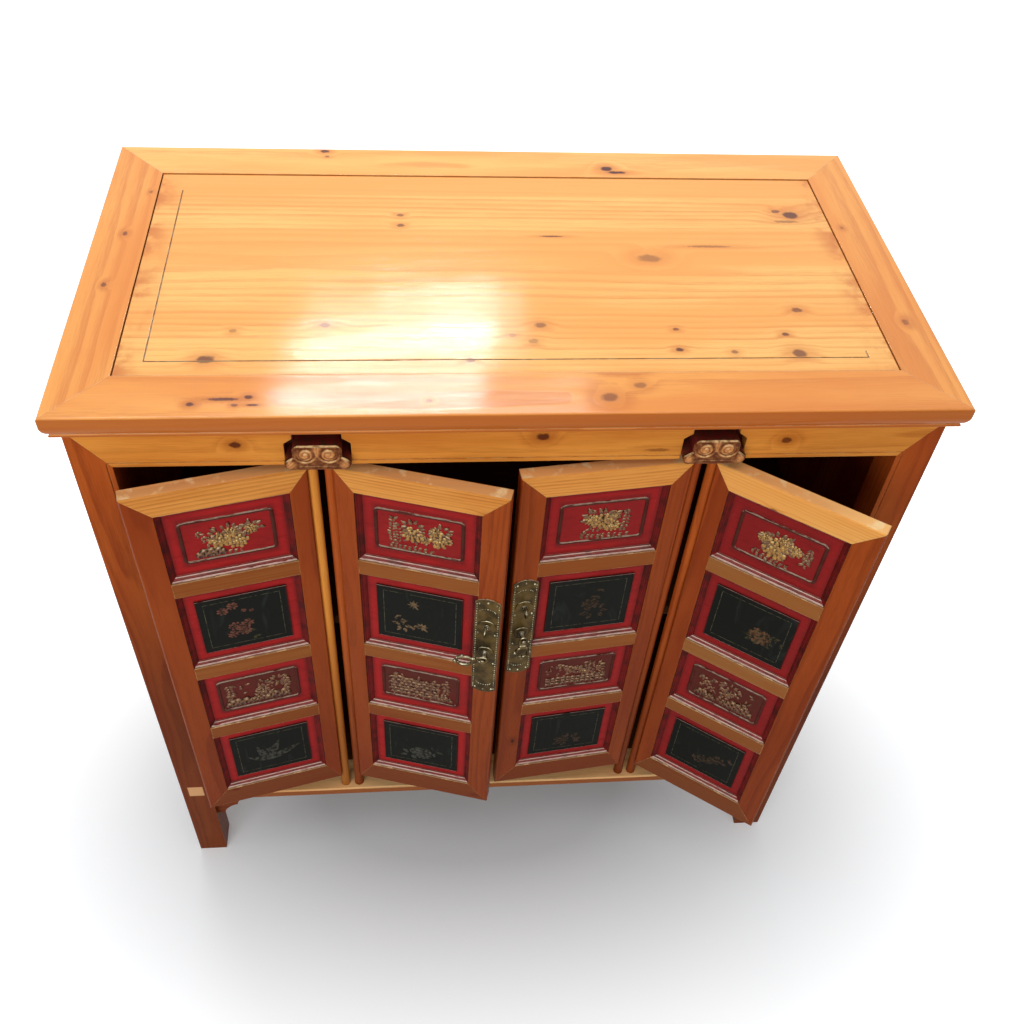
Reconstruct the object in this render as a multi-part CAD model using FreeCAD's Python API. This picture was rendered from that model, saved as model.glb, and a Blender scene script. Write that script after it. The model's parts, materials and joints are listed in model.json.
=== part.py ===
import FreeCAD, Part

import math
import os

from FreeCAD import Vector

# A low Chinese wedding cabinet in softwood: a floating-panel top on four square
# posts, and four narrow panelled doors that turn in pairs on round wooden rods.
# The rods stand in sockets in the thin bottom rail and reach up into two carved
# blocks that are keyed into the front rail.
#
# Millimetres, +X to the cabinet's right, +Y to its back, +Z up from the floor.

# Whole cabinet
top_w = 950.0
top_d = 516.0
total_h = 958.0
overhang_side = 12.0
overhang_front = 18.0

# Clearances
seat_gap = 0.3
run_gap = 0.3
over = 1.0

# Top frame and its moulded edge
top_t = 30.0
frame_side_w = 60.0
frame_front_w = 64.0
arris_r = 2.5
edge_land = 13.0
curve_in = 6.5
curve_mid_shares = (0.32, 0.54)
bead_r = 2.2
bead_step = 0.8

# Floating top panel and the two battens below it
panel_drop = 1.2
panel_t = 13.0
panel_shadow = 1.4
tongue_t = 5.0
tongue_l = 8.0
batten_w = 32.0
batten_tenon = 9.0
batten_place_share = 0.31

# Line scratched in the panel along its left and front, with a return at the right
scribe_w = 1.4
scribe_deep = 0.8
scribe_side_in = 27.0
scribe_front_in = 21.5
scribe_back_in = 35.5
scribe_return = 12.0

# Posts
post = 41.0
post_tenon = 16.0
post_tenon_h = 13.0

# Rails between the posts
top_rail_h = 54.0
front_rail_d = 36.0
side_rail_t = 30.0
back_rail_t = 28.0
mitre_depth = 13.0
tenon_l = 22.0
tenon_t = 12.0
tenon_drop = 12.0
clear_h = 160.0
ledge_t = 16.0
ledge_d = 50.0
ledge_tenon_t = 9.0
ledge_bevel = 2.0
low_rail_h = 45.0
through_w = 22.0
through_h = 26.0
through_up = 14.0

# Bead scratched round the door opening
quirk_in = 5.0
quirk_w = 1.3
quirk_deep = 1.0

# Side, back and floor boards
wall_t = 10.0
wall_in = 9.0
wall_groove = 7.0
floor_groove = 6.0
floor_t = 12.0

# Shelf and its bearers
shelf_t = 16.0
shelf_up_share = 0.53
shelf_back = 49.0
bearer_w = 18.0
bearer_h = 26.0

# Brackets under the bottom rail
bracket_w = 54.0
bracket_h = 56.0
bracket_t = 14.0
bracket_in = 8.0
bracket_foot = 11.0
bracket_toe = 9.0

# Doors
door_t = 18.0
door_in = 4.0
door_low_gap = 34.5
door_top_gap = 9.5
edge_gap = 1.5
meeting_gap = 2.0
pivot_spacing = 20.0
hinge_stile_w = 21.5
lock_stile_w = 29.5
door_top_rail = 32.0
door_mid_rail = 24.0
door_low_rail = 40.0
field_shares = (0.2235, 0.2765, 0.2235, 0.2765)
door_bevel = 1.6
rail_tenon = 8.0
rail_tenon_t = 5.0
rail_tenon_edge = 4.0

# Angles at which the doors stand open, leftmost door first
ajar_degrees = (13.0, 15.5, 6.5, 35.0)

# Round pivot rod on each door's hinge edge
rod_r = 6.5
rod_flat = 5.5
socket_gap = 0.4
socket_deep = 8.0
head_socket = 21.0

# Door panels, their recess and the planted moulding round each
field_recess = 7.0
field_t = 5.0
field_groove = 5.0
trim_w = 8.0
trim_h = 5.0
trim_lip = 1.2
ring_in_x = 20.0
ring_in_z = 23.5
ring_w = 3.5
ring_h = 2.6
ring_corner = 5.0
plaque_in_x = 18.5
plaque_in_z = 20.5
plaque_h = 1.2
plaque_line = 2.2
plaque_sink = 0.7

# Carved pivot block: a keyed back, a narrower front and a leaf at each lower corner
block_w = 69.0
block_top_w = 51.0
block_foot_w = 58.0
block_h = 35.0
block_low_gap = 2.0
block_shoulder = 7.0
block_foot = 4.0
block_out = 10.0
block_key = 13.0
block_in = 25.0
block_head_gap = 7.0
block_corner = 8.0
leaf_mid_up = 9.0
leaf_up = 18.0
boss_r = 8.0
boss_h = 2.4
boss_top_share = 0.7
boss_off = 12.3
boss_up_share = 0.66
boss_eye_r = 3.2
boss_eye_h = 1.6
boss_sides = 12

# Strip that the closed doors rest against
stop_h = 12.0
stop_d = 9.0

# Lock plates and the round collars of their staples
plate_h = 191.0
plate_w = 31.0
plate_t = 1.5
plate_arch = 7.0
plate_edge = 1.2
plate_low_share = 0.4455
collar_r = 11.0
collar_t = 1.5
collar_bevel = 1.0
collar_sides = 18

# Padlock eye and the stud that the pull hangs on
eye_up_share = 0.732
eye_out_r = 6.8
eye_in_r = 4.2
eye_w = 5.0
eye_reach = 8.5
stud_up_share = 0.4565
shoulder_r = 3.4
shoulder_l = 8.5
stud_r = 2.3
knob_r = 3.3
knob_t = 2.8
knob_bevel = 1.0
forged_sides = 10

# Drop pull: a small eye, a banded collar and a lobed loop
pull_t = 4.0
pull_gap = 0.5
pull_eye_half = 5.4
pull_eye_drop = 5.0
band_w = 10.8
band_h = 4.4
band_t = 5.4
band_drop = 9.6
loop_mid_drop = 25.0
loop_half = 9.5
loop_straight = 6.0
loop_hole_half = 5.2
loop_hole_straight = 3.4
lobe_r = 2.4
tip_r = 3.0
pull_turns = (70.0, 0.0)

# Places that follow from the sizes above
body_w = top_w - 2 * overhang_side
body_d = top_d - 2 * overhang_front
half_w = body_w / 2
half_d = body_d / 2
top_low = total_h - top_t
rail_low = top_low - top_rail_h
ledge_top = clear_h + ledge_t
low_rail_top = clear_h + low_rail_h
open_half = half_w - post
post_in_y = half_d - post
pair_x = (open_half - edge_gap + meeting_gap / 2) / 2
door_reach = pair_x - pivot_spacing / 2 - meeting_gap / 2
door_low = ledge_top + door_low_gap
door_high = rail_low - door_top_gap
pivot_y = -half_d + door_in + door_t / 2
pivot_xs = (-pair_x - pivot_spacing / 2, -pair_x + pivot_spacing / 2,
            pair_x - pivot_spacing / 2, pair_x + pivot_spacing / 2)
pivot_sides = (-1, 1, -1, 1)
field_left = rod_flat + hinge_stile_w
field_right = door_reach - lock_stile_w
field_back = -door_t / 2 + field_recess
plate_mid = door_reach - plate_edge - plate_w / 2
plate_face = -door_t / 2 - plate_t
plate_low = door_low + plate_low_share * (door_high - door_low)
pull_z = plate_low + stud_up_share * plate_h
eye_z = plate_low + eye_up_share * plate_h
pull_back = plate_face - collar_t - shoulder_l - run_gap


def door_front_reach():
    """How far the widest-open door comes forward of the body's middle."""
    reaches = []
    for degrees in ajar_degrees:
        turn = math.radians(degrees)
        swing = door_reach * math.sin(turn) + door_t / 2 * math.cos(turn)
        reaches.append(swing - pivot_y)
    return max(reaches)


centre_y = (door_front_reach() - top_d / 2) / 2


def box(xs, ys, zs):
    size = [high - low for low, high in (xs, ys, zs)]
    return Part.makeBox(*size, Vector(xs[0], ys[0], zs[0]))


def prism(points, lift):
    wire = Part.makePolygon(points + points[:1])
    return Part.Face(wire).extrude(lift)


def solid_from(edges, lift):
    return Part.Face(Part.Wire(edges)).extrude(lift)


def rod(x, y, radius, low, high):
    return Part.makeCylinder(radius, high - low, Vector(x, y, low))


def line(a, b):
    return Part.LineSegment(a, b).toShape()


def arc(a, b, c):
    return Part.Arc(a, b, c).toShape()


def mirror_x(shape):
    return shape.mirror(Vector(0, 0, 0), Vector(1, 0, 0))


def mirror_y(shape):
    return shape.mirror(Vector(0, 0, 0), Vector(0, 1, 0))


def grown(low, high, gap):
    return (low - gap, high + gap)


# Top board

def edge_section(width, place):
    """Section of a frame member from its inner edge out to the moulded edge."""
    low = top_low
    lean = arris_r * (1 - math.sin(math.radians(45)))
    neck = width - curve_in - bead_step
    fall = total_h - edge_land - (low + 2 * bead_r)
    mid_in, mid_down = curve_mid_shares
    spots = {
        "a": place(0, low),
        "b": place(0, total_h),
        "c": place(width - arris_r, total_h),
        "cd": place(width - lean, total_h - lean),
        "d": place(width, total_h - arris_r),
        "e": place(width, total_h - edge_land),
        "ef": place(width - mid_in * curve_in, total_h - edge_land - mid_down * fall),
        "f": place(width - curve_in, low + 2 * bead_r),
        "g": place(neck, low + 2 * bead_r),
        "gh": place(neck + bead_r, low + bead_r),
        "h": place(neck, low),
    }
    s = spots
    return [line(s["a"], s["b"]), line(s["b"], s["c"]), arc(s["c"], s["cd"], s["d"]),
            line(s["d"], s["e"]), arc(s["e"], s["ef"], s["f"]), line(s["f"], s["g"]),
            arc(s["g"], s["gh"], s["h"]), line(s["h"], s["a"])]


def post_tenon_box(x_side, y_side, gap):
    x = x_side * (half_w - post / 2)
    y = y_side * (half_d - post / 2)
    side = post_tenon / 2 + gap
    return box((x - side, x + side), (y - side, y + side),
               (top_low - gap, top_low + post_tenon_h + gap))


def tongue_zone(gap):
    """Space that the panel's tongues take up inside the frame."""
    xs = top_w / 2 - frame_side_w + tongue_l + gap
    ys = top_d / 2 - frame_front_w + tongue_l + gap
    low = total_h - panel_drop - panel_t
    return box((-xs, xs), (-ys, ys), (low - gap, low + tongue_t + gap))


def batten_boxes(length_gap, side_gap):
    reach = top_d / 2 - frame_front_w + batten_tenon + length_gap
    high = total_h - panel_drop - panel_t
    low = top_low
    boxes = []
    for side in (-1, 1):
        x = side * batten_place_share * top_w / 2
        half = batten_w / 2 + side_gap
        boxes.append(box((x - half, x + half), (-reach, reach), (low, high + side_gap)))
    return boxes


def mitre_plan(outer_half, inner_half, outer, inner):
    """Plan of a member along X that ends in mitres, as a tall prism."""
    low = top_low - over
    points = [Vector(-outer_half, -outer, low), Vector(outer_half, -outer, low),
              Vector(inner_half, -inner, low), Vector(-inner_half, -inner, low)]
    return prism(points, Vector(0, 0, top_t + 2 * over))


def frame_front():
    inner = top_d / 2 - frame_front_w
    edges = edge_section(frame_front_w, lambda u, z: Vector(-top_w / 2, -inner - u, z))
    shape = solid_from(edges, Vector(top_w, 0, 0))
    plan = mitre_plan(top_w / 2, top_w / 2 - frame_side_w, top_d / 2, inner)
    shape = shape.common(plan)
    shape = shape.cut(tongue_zone(seat_gap))
    for batten in batten_boxes(seat_gap, 0):
        shape = shape.cut(batten)
    for side in (-1, 1):
        shape = shape.cut(post_tenon_box(side, -1, 0))
    return shape


def frame_right():
    inner = top_w / 2 - frame_side_w
    edges = edge_section(frame_side_w, lambda u, z: Vector(inner + u, -top_d / 2, z))
    shape = solid_from(edges, Vector(0, top_d, 0))
    low = top_low - over
    points = [Vector(top_w / 2, -top_d / 2, low), Vector(top_w / 2, top_d / 2, low),
              Vector(inner, top_d / 2 - frame_front_w, low),
              Vector(inner, frame_front_w - top_d / 2, low)]
    shape = shape.common(prism(points, Vector(0, 0, top_t + 2 * over)))
    shape = shape.cut(tongue_zone(seat_gap))
    for side in (-1, 1):
        shape = shape.cut(post_tenon_box(1, side, 0))
    return shape


def scribed_line(half_x, half_y, high):
    """Scratched grooves in the face of a panel of the given half sizes."""
    left, right = -half_x + scribe_side_in, half_x - scribe_side_in
    front, back = -half_y + scribe_front_in, half_y - scribe_back_in
    zs = (high - scribe_deep, high + over)
    runs = [box((left, right), (front, front + scribe_w), zs),
            box((left, left + scribe_w), (front, back), zs),
            box((right - scribe_w, right), (front, front + scribe_return), zs)]
    return runs[0].multiFuse(runs[1:])


def top_panel():
    half_x = top_w / 2 - frame_side_w - panel_shadow
    half_y = top_d / 2 - frame_front_w - panel_shadow
    high = total_h - panel_drop
    field = box((-half_x, half_x), (-half_y, half_y), (high - panel_t, high))
    panel = field.fuse(tongue_zone(0)).removeSplitter()
    return panel.cut(scribed_line(half_x, half_y, high))


def top_battens():
    return Part.makeCompound(batten_boxes(0, 0))


# Posts and rails

def wall_box_side(gap):
    """Left side wall with the tongues that run in the posts and rails."""
    x = -half_w + wall_in
    y = post_in_y + wall_groove - seat_gap + gap
    return box(grown(x, x + wall_t, 0), (-y, y),
               (low_rail_top - wall_groove + seat_gap - gap,
                rail_low + wall_groove - seat_gap + gap))


def wall_box_back(gap):
    x = open_half + wall_groove - seat_gap + gap
    y = half_d - wall_in
    return box((-x, x), (y - wall_t, y),
               (low_rail_top - wall_groove + seat_gap - gap,
                rail_low + wall_groove - seat_gap + gap))


def side_rail_spans(low, high):
    """Left side rail between the posts, with its outer face inside the post's."""
    xs = (-half_w + quirk_w, -half_w + quirk_w + side_rail_t)
    return xs, (-post_in_y, post_in_y), (low, high)


def side_tenon(front, low, high, length):
    x = -half_w + post / 2
    xs = (x - tenon_t / 2, x + tenon_t / 2)
    if front:
        return box(xs, (-post_in_y - length, -post_in_y), (low, high))
    return box(xs, (post_in_y, post_in_y + length), (low, high))


def through_tenon():
    """Tenon of the low side rail, seen as end grain on the front of the post."""
    x = -half_w + post / 2
    low = clear_h + through_up
    return box((x - through_w / 2, x + through_w / 2), (-half_d, -post_in_y),
               (low, low + through_h))


def top_side_tenons():
    low = rail_low + tenon_drop
    high = top_low - tenon_drop
    return [side_tenon(True, low, high, tenon_l), side_tenon(False, low, high, tenon_l)]


def low_back_side_tenon():
    low = clear_h + through_up
    return side_tenon(False, low, low + through_h, tenon_l)


def back_tenons(low, high):
    y = half_d - post / 2
    short = open_half + post / 2 - tenon_t / 2
    ys = (y - tenon_t / 2, y + tenon_t / 2)
    return [box((-short, -open_half), ys, (low, high)),
            box((open_half, short), ys, (low, high))]


def mitre_ears():
    """Front layer of the top rail, lapping over the posts on a mitre."""
    ears = []
    for side in (-1, 1):
        points = [Vector(side * open_half, -half_d, rail_low),
                  Vector(side * open_half, -half_d, top_low),
                  Vector(side * half_w, -half_d, top_low)]
        ears.append(prism(points, Vector(0, mitre_depth, 0)))
    return ears


def front_tenons():
    short = open_half + post / 2 - tenon_t / 2
    ys = (-half_d + mitre_depth, -half_d + mitre_depth + tenon_t)
    zs = (rail_low + tenon_drop, top_low - tenon_drop)
    return [box((-short, -open_half), ys, zs), box((open_half, short), ys, zs)]


def ledge_tenons():
    short = open_half + post / 2
    low = clear_h + (ledge_t - ledge_tenon_t) / 4
    ys = (-half_d + tenon_drop, -post_in_y - tenon_drop / 2)
    zs = (low, low + ledge_tenon_t)
    return [box((-short, -open_half), ys, zs), box((open_half, short), ys, zs)]


def quirk_post():
    """Fine groove that leaves a bead along the left post's inner edge."""
    x = -open_half - quirk_in
    return box((x - quirk_w, x), (-half_d - over, -half_d + quirk_deep),
               (ledge_top, rail_low + quirk_in))


def quirk_rail():
    reach = open_half + quirk_in
    z = rail_low + quirk_in
    return box((-reach, reach), (-half_d - over, -half_d + quirk_deep),
               (z, z + quirk_w))


def post_left(front):
    y_side = -1 if front else 1
    ys = (-half_d, -post_in_y) if front else (post_in_y, half_d)
    shape = box((-half_w, -open_half), ys, (0, top_low))
    shape = shape.fuse(post_tenon_box(-1, y_side, 0)).removeSplitter()
    cutters = [wall_box_side(seat_gap), wall_box_back(seat_gap)] + top_side_tenons()
    cutters += [low_back_side_tenon(), through_tenon()]
    cutters += back_tenons(rail_low + tenon_drop, top_low - tenon_drop)
    cutters += back_tenons(clear_h + tenon_drop, low_rail_top - tenon_drop)
    if front:
        cutters += mitre_ears() + front_tenons() + ledge_tenons() + [quirk_post()]
    for cutter in cutters:
        shape = shape.cut(cutter)
    return shape


def block_outline(y):
    """Front view of a block's keyed back: a long octagon, wider below than above."""
    low = rail_low + block_low_gap
    high = low + block_h
    half = block_w / 2
    top_half = block_top_w / 2
    foot_half = block_foot_w / 2
    return [Vector(-foot_half, y, low), Vector(foot_half, y, low),
            Vector(half, y, low + block_foot), Vector(half, y, high - block_shoulder),
            Vector(top_half, y, high), Vector(-top_half, y, high),
            Vector(-half, y, high - block_shoulder), Vector(-half, y, low + block_foot)]


def housing(side):
    """Housing in the front rail that a carved block is keyed into."""
    low = rail_low + block_low_gap
    high = low + block_h
    half = block_w / 2
    top_half = block_top_w / 2
    y = -half_d - over
    points = [Vector(-half, y, rail_low - over), Vector(half, y, rail_low - over),
              Vector(half, y, high - block_shoulder), Vector(top_half, y, high),
              Vector(top_half, y, high + block_head_gap),
              Vector(-top_half, y, high + block_head_gap), Vector(-top_half, y, high),
              Vector(-half, y, high - block_shoulder)]
    cutter = prism(points, Vector(0, block_in + over, 0))
    cutter.translate(Vector(side * pair_x, 0, 0))
    return cutter


def top_rail_front():
    shape = box((-open_half, open_half), (-half_d, -half_d + front_rail_d),
                (rail_low, top_low))
    shape = shape.multiFuse(mitre_ears() + front_tenons()).removeSplitter()
    for cutter in (housing(-1), housing(1), quirk_rail()):
        shape = shape.cut(cutter)
    return shape


def top_rail_left():
    shape = box(*side_rail_spans(rail_low, top_low))
    shape = shape.multiFuse(top_side_tenons()).removeSplitter()
    return shape.cut(wall_box_side(seat_gap))


def rail_back(low, high):
    shape = box((-open_half, open_half), (half_d - back_rail_t - quirk_w, half_d - quirk_w),
                (low, high))
    tenons = back_tenons(low + tenon_drop, high - tenon_drop)
    shape = shape.multiFuse(tenons).removeSplitter()
    return shape.cut(wall_box_back(seat_gap))


def low_rail_left():
    shape = box(*side_rail_spans(clear_h, low_rail_top))
    shape = shape.multiFuse([through_tenon(), low_back_side_tenon()]).removeSplitter()
    shape = shape.cut(wall_box_side(seat_gap))
    return shape.cut(floor_zone(seat_gap))


def ledge():
    """Thin bottom rail whose upper face carries the foot of every rod."""
    shape = box((-open_half, open_half), (-half_d, -half_d + ledge_d),
                (clear_h, ledge_top))
    front = [edge for edge in shape.Edges
             if abs(edge.CenterOfMass.y + half_d) < over and edge.Length > post]
    shape = shape.makeChamfer(ledge_bevel, front)
    shape = shape.multiFuse(ledge_tenons()).removeSplitter()
    for x in pivot_xs:
        shape = shape.cut(rod(x, pivot_y, rod_r + socket_gap,
                              ledge_top - socket_deep, ledge_top + over))
    return shape.cut(floor_zone(seat_gap))


# Boards inside

def floor_zone(gap):
    """Floor board with tongues in the ledge, the low rails and the back rail."""
    x = half_w - quirk_w - side_rail_t + floor_groove - seat_gap + gap
    front = -half_d + ledge_d - floor_groove + seat_gap - gap
    back = half_d - quirk_w - back_rail_t + floor_groove - seat_gap + gap
    low = ledge_top - floor_t
    inner_x = half_w - quirk_w - side_rail_t
    inner_front = -half_d + ledge_d
    inner_back = half_d - quirk_w - back_rail_t
    lip = low + floor_t / 2
    field = box((-inner_x, inner_x), (inner_front, inner_back), (low, ledge_top))
    tongue = box((-x, x), (front, back), (low, lip)) if gap == 0 else box(
        (-x, x), (front, back), (low - gap, lip + gap))
    return field.fuse(tongue)


def posts_boxes(gap):
    boxes = []
    for x_side in (-1, 1):
        for y_side in (-1, 1):
            xs = sorted((x_side * (open_half - gap), x_side * (half_w + gap)))
            ys = sorted((y_side * (post_in_y - gap), y_side * (half_d + gap)))
            boxes.append(box(xs, ys, (0, top_low)))
    return boxes


def floor_board():
    shape = floor_zone(0).removeSplitter()
    for cutter in posts_boxes(seat_gap):
        shape = shape.cut(cutter)
    return shape


def shelf_top():
    return ledge_top + shelf_up_share * (rail_low - ledge_top)


def shelf():
    x = half_w - wall_in - wall_t - seat_gap
    high = shelf_top()
    shape = box((-x, x), (-half_d + shelf_back, half_d - wall_in - wall_t - seat_gap),
                (high - shelf_t, high))
    for cutter in posts_boxes(seat_gap):
        shape = shape.cut(cutter)
    return shape


def shelf_bearers():
    x = half_w - wall_in - wall_t
    high = shelf_top() - shelf_t
    left = box((-x, -x + bearer_w), (-post_in_y, post_in_y), (high - bearer_h, high))
    return Part.makeCompound([left, mirror_x(left)])


def back_wall():
    return wall_box_back(0)


def side_wall():
    return wall_box_side(0)


def bracket_left():
    """Curved bracket in the corner of the left post and the bottom rail."""
    y = -half_d + bracket_in
    corner = Vector(-open_half, y, clear_h)
    foot = Vector(-open_half, y, clear_h - bracket_h)
    foot_in = foot + Vector(bracket_foot, 0, 0)
    toe = corner + Vector(bracket_w, 0, 0)
    toe_low = toe - Vector(0, 0, bracket_toe)
    cusp = Vector((foot_in.x + toe_low.x) / 2, y, (foot_in.z + toe_low.z) / 2)
    hollow = bracket_toe / 2
    low_mid = (foot_in + cusp) * (1 / 2) + Vector(-hollow / 2, 0, hollow)
    high_mid = (cusp + toe_low) * (1 / 2) + Vector(-hollow, 0, hollow / 2)
    edges = [line(corner, foot), line(foot, foot_in), arc(foot_in, low_mid, cusp),
             arc(cusp, high_mid, toe_low), line(toe_low, toe), line(toe, corner)]
    return solid_from(edges, Vector(0, bracket_t, 0))


def door_stop():
    """Strip under the front rail that the closed doors lie against."""
    y = pivot_y + door_t / 2 + run_gap
    return box((-open_half, open_half), (y, y + stop_d), (rail_low - stop_h, rail_low))


# Carved pivot block

def flat_face(points):
    return Part.Face(Part.makePolygon(points + points[:1]))


def faceted(profile, base, sides):
    """Many-sided stud standing forward of base, from (distance, radius) steps."""
    rings = []
    for distance, radius in profile:
        turns = [2 * math.pi * number / sides for number in range(sides)]
        rings.append([base + Vector(radius * math.cos(turn), -distance, radius * math.sin(turn))
                      for turn in turns])
    faces = [flat_face(rings[0]), flat_face(rings[-1])]
    for near, far in zip(rings, rings[1:]):
        for number in range(sides):
            after = (number + 1) % sides
            faces.append(flat_face([near[number], near[after], far[after], far[number]]))
    shape = Part.Solid(Part.Shell(faces))
    if shape.Volume < 0:
        shape.reverse()
    return shape


def boss(x, z):
    """Domed rosette with a raised eye on the face of a block."""
    base = Vector(x, -half_d - block_out, z)
    dome = [(0, boss_r), (boss_h / 2, boss_r), (boss_h, boss_top_share * boss_r)]
    eye = [(0, boss_eye_r), (boss_h + boss_eye_h, boss_eye_r)]
    return faceted(dome, base, boss_sides).fuse(faceted(eye, base, boss_sides))


def block_front():
    """Carved front of a block: round upper corners and a leaf at each foot."""
    y = -half_d - block_out
    low = rail_low + block_low_gap
    high = low + block_h
    top_half = block_top_w / 2
    foot_half = block_foot_w / 2
    corner = block_corner
    lean = corner * (1 - math.sin(math.radians(45)))
    right = [Vector(foot_half, y, low), Vector(block_w / 2, y, low + leaf_mid_up),
             Vector(top_half, y, low + leaf_up), Vector(top_half, y, high - corner),
             Vector(top_half - lean, y, high - lean), Vector(top_half - corner, y, high)]
    left = [Vector(-point.x, point.y, point.z) for point in right]
    edges = [line(left[0], right[0])]
    for side in (right, left):
        edges += [arc(side[0], side[1], side[2]), line(side[2], side[3]),
                  arc(side[3], side[4], side[5])]
    edges.append(line(left[5], right[5]))
    outline = Part.Wire(Part.__sortEdges__(edges))
    return Part.Face(outline).extrude(Vector(0, block_out + block_key, 0))


def pivot_block():
    """Right-hand block, about its own middle: keyed body, rosettes, sockets."""
    key = prism(block_outline(-half_d + block_key), Vector(0, block_in - block_key, 0))
    low = rail_low + block_low_gap
    z = low + boss_up_share * block_h
    shape = block_front().multiFuse([key, boss(-boss_off, z), boss(boss_off, z)])
    shape = shape.removeSplitter()
    for side in (-1, 1):
        shape = shape.cut(rod(side * pivot_spacing / 2, pivot_y, rod_r + socket_gap,
                              low - over, low + head_socket))
    return shape


# Doors, drawn closed with the pivot axis on Z and the door running along +X

def pivot_rod():
    """Round rod with a flat where the hinge stile is glued to it."""
    low = ledge_top - socket_deep + run_gap
    high = rail_low + block_low_gap + head_socket - run_gap
    shape = rod(0, 0, rod_r, low, high)
    flat = box((rod_flat, rod_r + over), (-rod_r - over, rod_r + over),
               (door_low - run_gap, door_high + run_gap))
    return shape.cut(flat)


def field_spans():
    """Heights of the four panel openings, from the top one down."""
    free = door_high - door_low - door_top_rail - door_low_rail - 3 * door_mid_rail
    spans = []
    high = door_high - door_top_rail
    for share in field_shares:
        low = high - share * free
        spans.append((low, high))
        high = low - door_mid_rail
    return spans


def field_box(span, gap):
    low, high = span
    reach = field_groove - seat_gap + gap
    return box((field_left - reach, field_right + reach),
               (field_back, field_back + field_t), (low - reach, high + reach))


def door_slab(points):
    """Piece of the door of the given front outline, with a softened front edge."""
    front = [Vector(x, -door_t / 2, z) for x, z in points]
    return prism(front, Vector(0, door_t, 0))


def soften(shape, picks):
    edges = [edge for edge in shape.Edges if picks(edge.CenterOfMass) and edge.Length > door_t]
    return shape.makeChamfer(door_bevel, edges)


def mid_rail_spans():
    spans = field_spans()
    return [(spans[i + 1][1], spans[i][0]) for i in range(len(spans) - 1)]


def mid_tenons(side, gap):
    """Stub tenons of the cross rails on one side of the door."""
    boxes = []
    for low, high in mid_rail_spans():
        if side < 0:
            xs = (field_left - rail_tenon - gap, field_left)
        else:
            xs = (field_right, field_right + rail_tenon + gap)
        boxes.append(box(xs, (-rail_tenon_t / 2, rail_tenon_t / 2),
                         (low + rail_tenon_edge, high - rail_tenon_edge)))
    return boxes


def cut_fields(shape):
    for span in field_spans():
        shape = shape.cut(field_box(span, seat_gap))
    return shape


def hinge_stile():
    points = [(rod_flat, door_low), (field_left, door_low + door_low_rail),
              (field_left, door_high - door_top_rail), (rod_flat, door_high)]
    shape = door_slab(points)
    shape = soften(shape, lambda c: abs(c.x - rod_flat) < over and abs(c.y) > rod_r)
    shape = cut_fields(shape)
    for tenon in mid_tenons(-1, seat_gap):
        shape = shape.cut(tenon)
    return shape


def lock_stile():
    points = [(door_reach, door_low), (field_right, door_low + door_low_rail),
              (field_right, door_high - door_top_rail), (door_reach, door_high)]
    shape = door_slab(points)
    shape = soften(shape, lambda c: abs(c.x - door_reach) < over)
    shape = cut_fields(shape)
    for tenon in mid_tenons(1, seat_gap):
        shape = shape.cut(tenon)
    return shape


def door_rails():
    """Mitred top and bottom rails, and the three cross rails with their tenons."""
    top = door_slab([(rod_flat, door_high), (field_left, door_high - door_top_rail),
                     (field_right, door_high - door_top_rail), (door_reach, door_high)])
    top = soften(top, lambda c: abs(c.z - door_high) < over)
    low = door_slab([(rod_flat, door_low), (field_left, door_low + door_low_rail),
                     (field_right, door_low + door_low_rail), (door_reach, door_low)])
    low = soften(low, lambda c: abs(c.z - door_low) < over)
    rails = [cut_fields(top), cut_fields(low)]
    lefts = mid_tenons(-1, 0)
    rights = mid_tenons(1, 0)
    for span, left, right in zip(mid_rail_spans(), lefts, rights):
        rail = box((field_left, field_right), (-door_t / 2, door_t / 2), span)
        rail = rail.multiFuse([left, right]).removeSplitter()
        rails.append(cut_fields(rail))
    return Part.makeCompound(rails)


def cornered_plate(span, inset):
    """Raised upright rectangle with its corners cut off."""
    left, right = field_left + ring_in_x + inset, field_right - ring_in_x - inset
    low, high = span[0] + ring_in_z + inset, span[1] - ring_in_z - inset
    cut = ring_corner
    spots = [(left + cut, low), (right - cut, low), (right, low + cut), (right, high - cut),
             (right - cut, high), (left + cut, high), (left, high - cut), (left, low + cut)]
    points = [Vector(x, field_back, z) for x, z in spots]
    return prism(points, Vector(0, -ring_h, 0))


def carved_field(span):
    """Panel with a raised ribbon of moulding for the carved sprays."""
    ring = cornered_plate(span, 0).cut(cornered_plate(span, ring_w))
    return field_box(span, 0).fuse(ring).removeSplitter()


def lacquered_field(span):
    """Panel with a low plaque, sunk inside its narrow border."""
    shape = field_box(span, 0)
    low, high = span[0] + plaque_in_z, span[1] - plaque_in_z
    left, right = field_left + plaque_in_x, field_right - plaque_in_x
    plaque = box((left, right), (field_back - plaque_h, field_back), (low, high))
    sunk = box((left + plaque_line, right - plaque_line),
               (field_back - plaque_h - over, field_back - plaque_h + plaque_sink),
               (low + plaque_line, high - plaque_line))
    return shape.fuse(plaque.cut(sunk)).removeSplitter()


def door_fields():
    first, second, third, fourth = field_spans()
    return Part.makeCompound([carved_field(first), lacquered_field(second),
                              carved_field(third), lacquered_field(fourth)])


def trim(span):
    """Moulding planted round a panel, sloping down to the panel's face."""
    low, high = span
    outer = box((field_left, field_right), (field_back - trim_h, field_back), (low, high))
    near = frustum_face(low, high, trim_lip, field_back - trim_h)
    far = frustum_face(low, high, trim_w, field_back)
    return outer.cut(Part.makeLoft([near, far], True, True))


def frustum_face(low, high, inset, y):
    left, right = field_left + inset, field_right - inset
    points = [Vector(left, y, low + inset), Vector(right, y, low + inset),
              Vector(right, y, high - inset), Vector(left, y, high - inset)]
    return Part.makePolygon(points + points[:1])


def door_trims():
    return Part.makeCompound([trim(span) for span in field_spans()])


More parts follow.
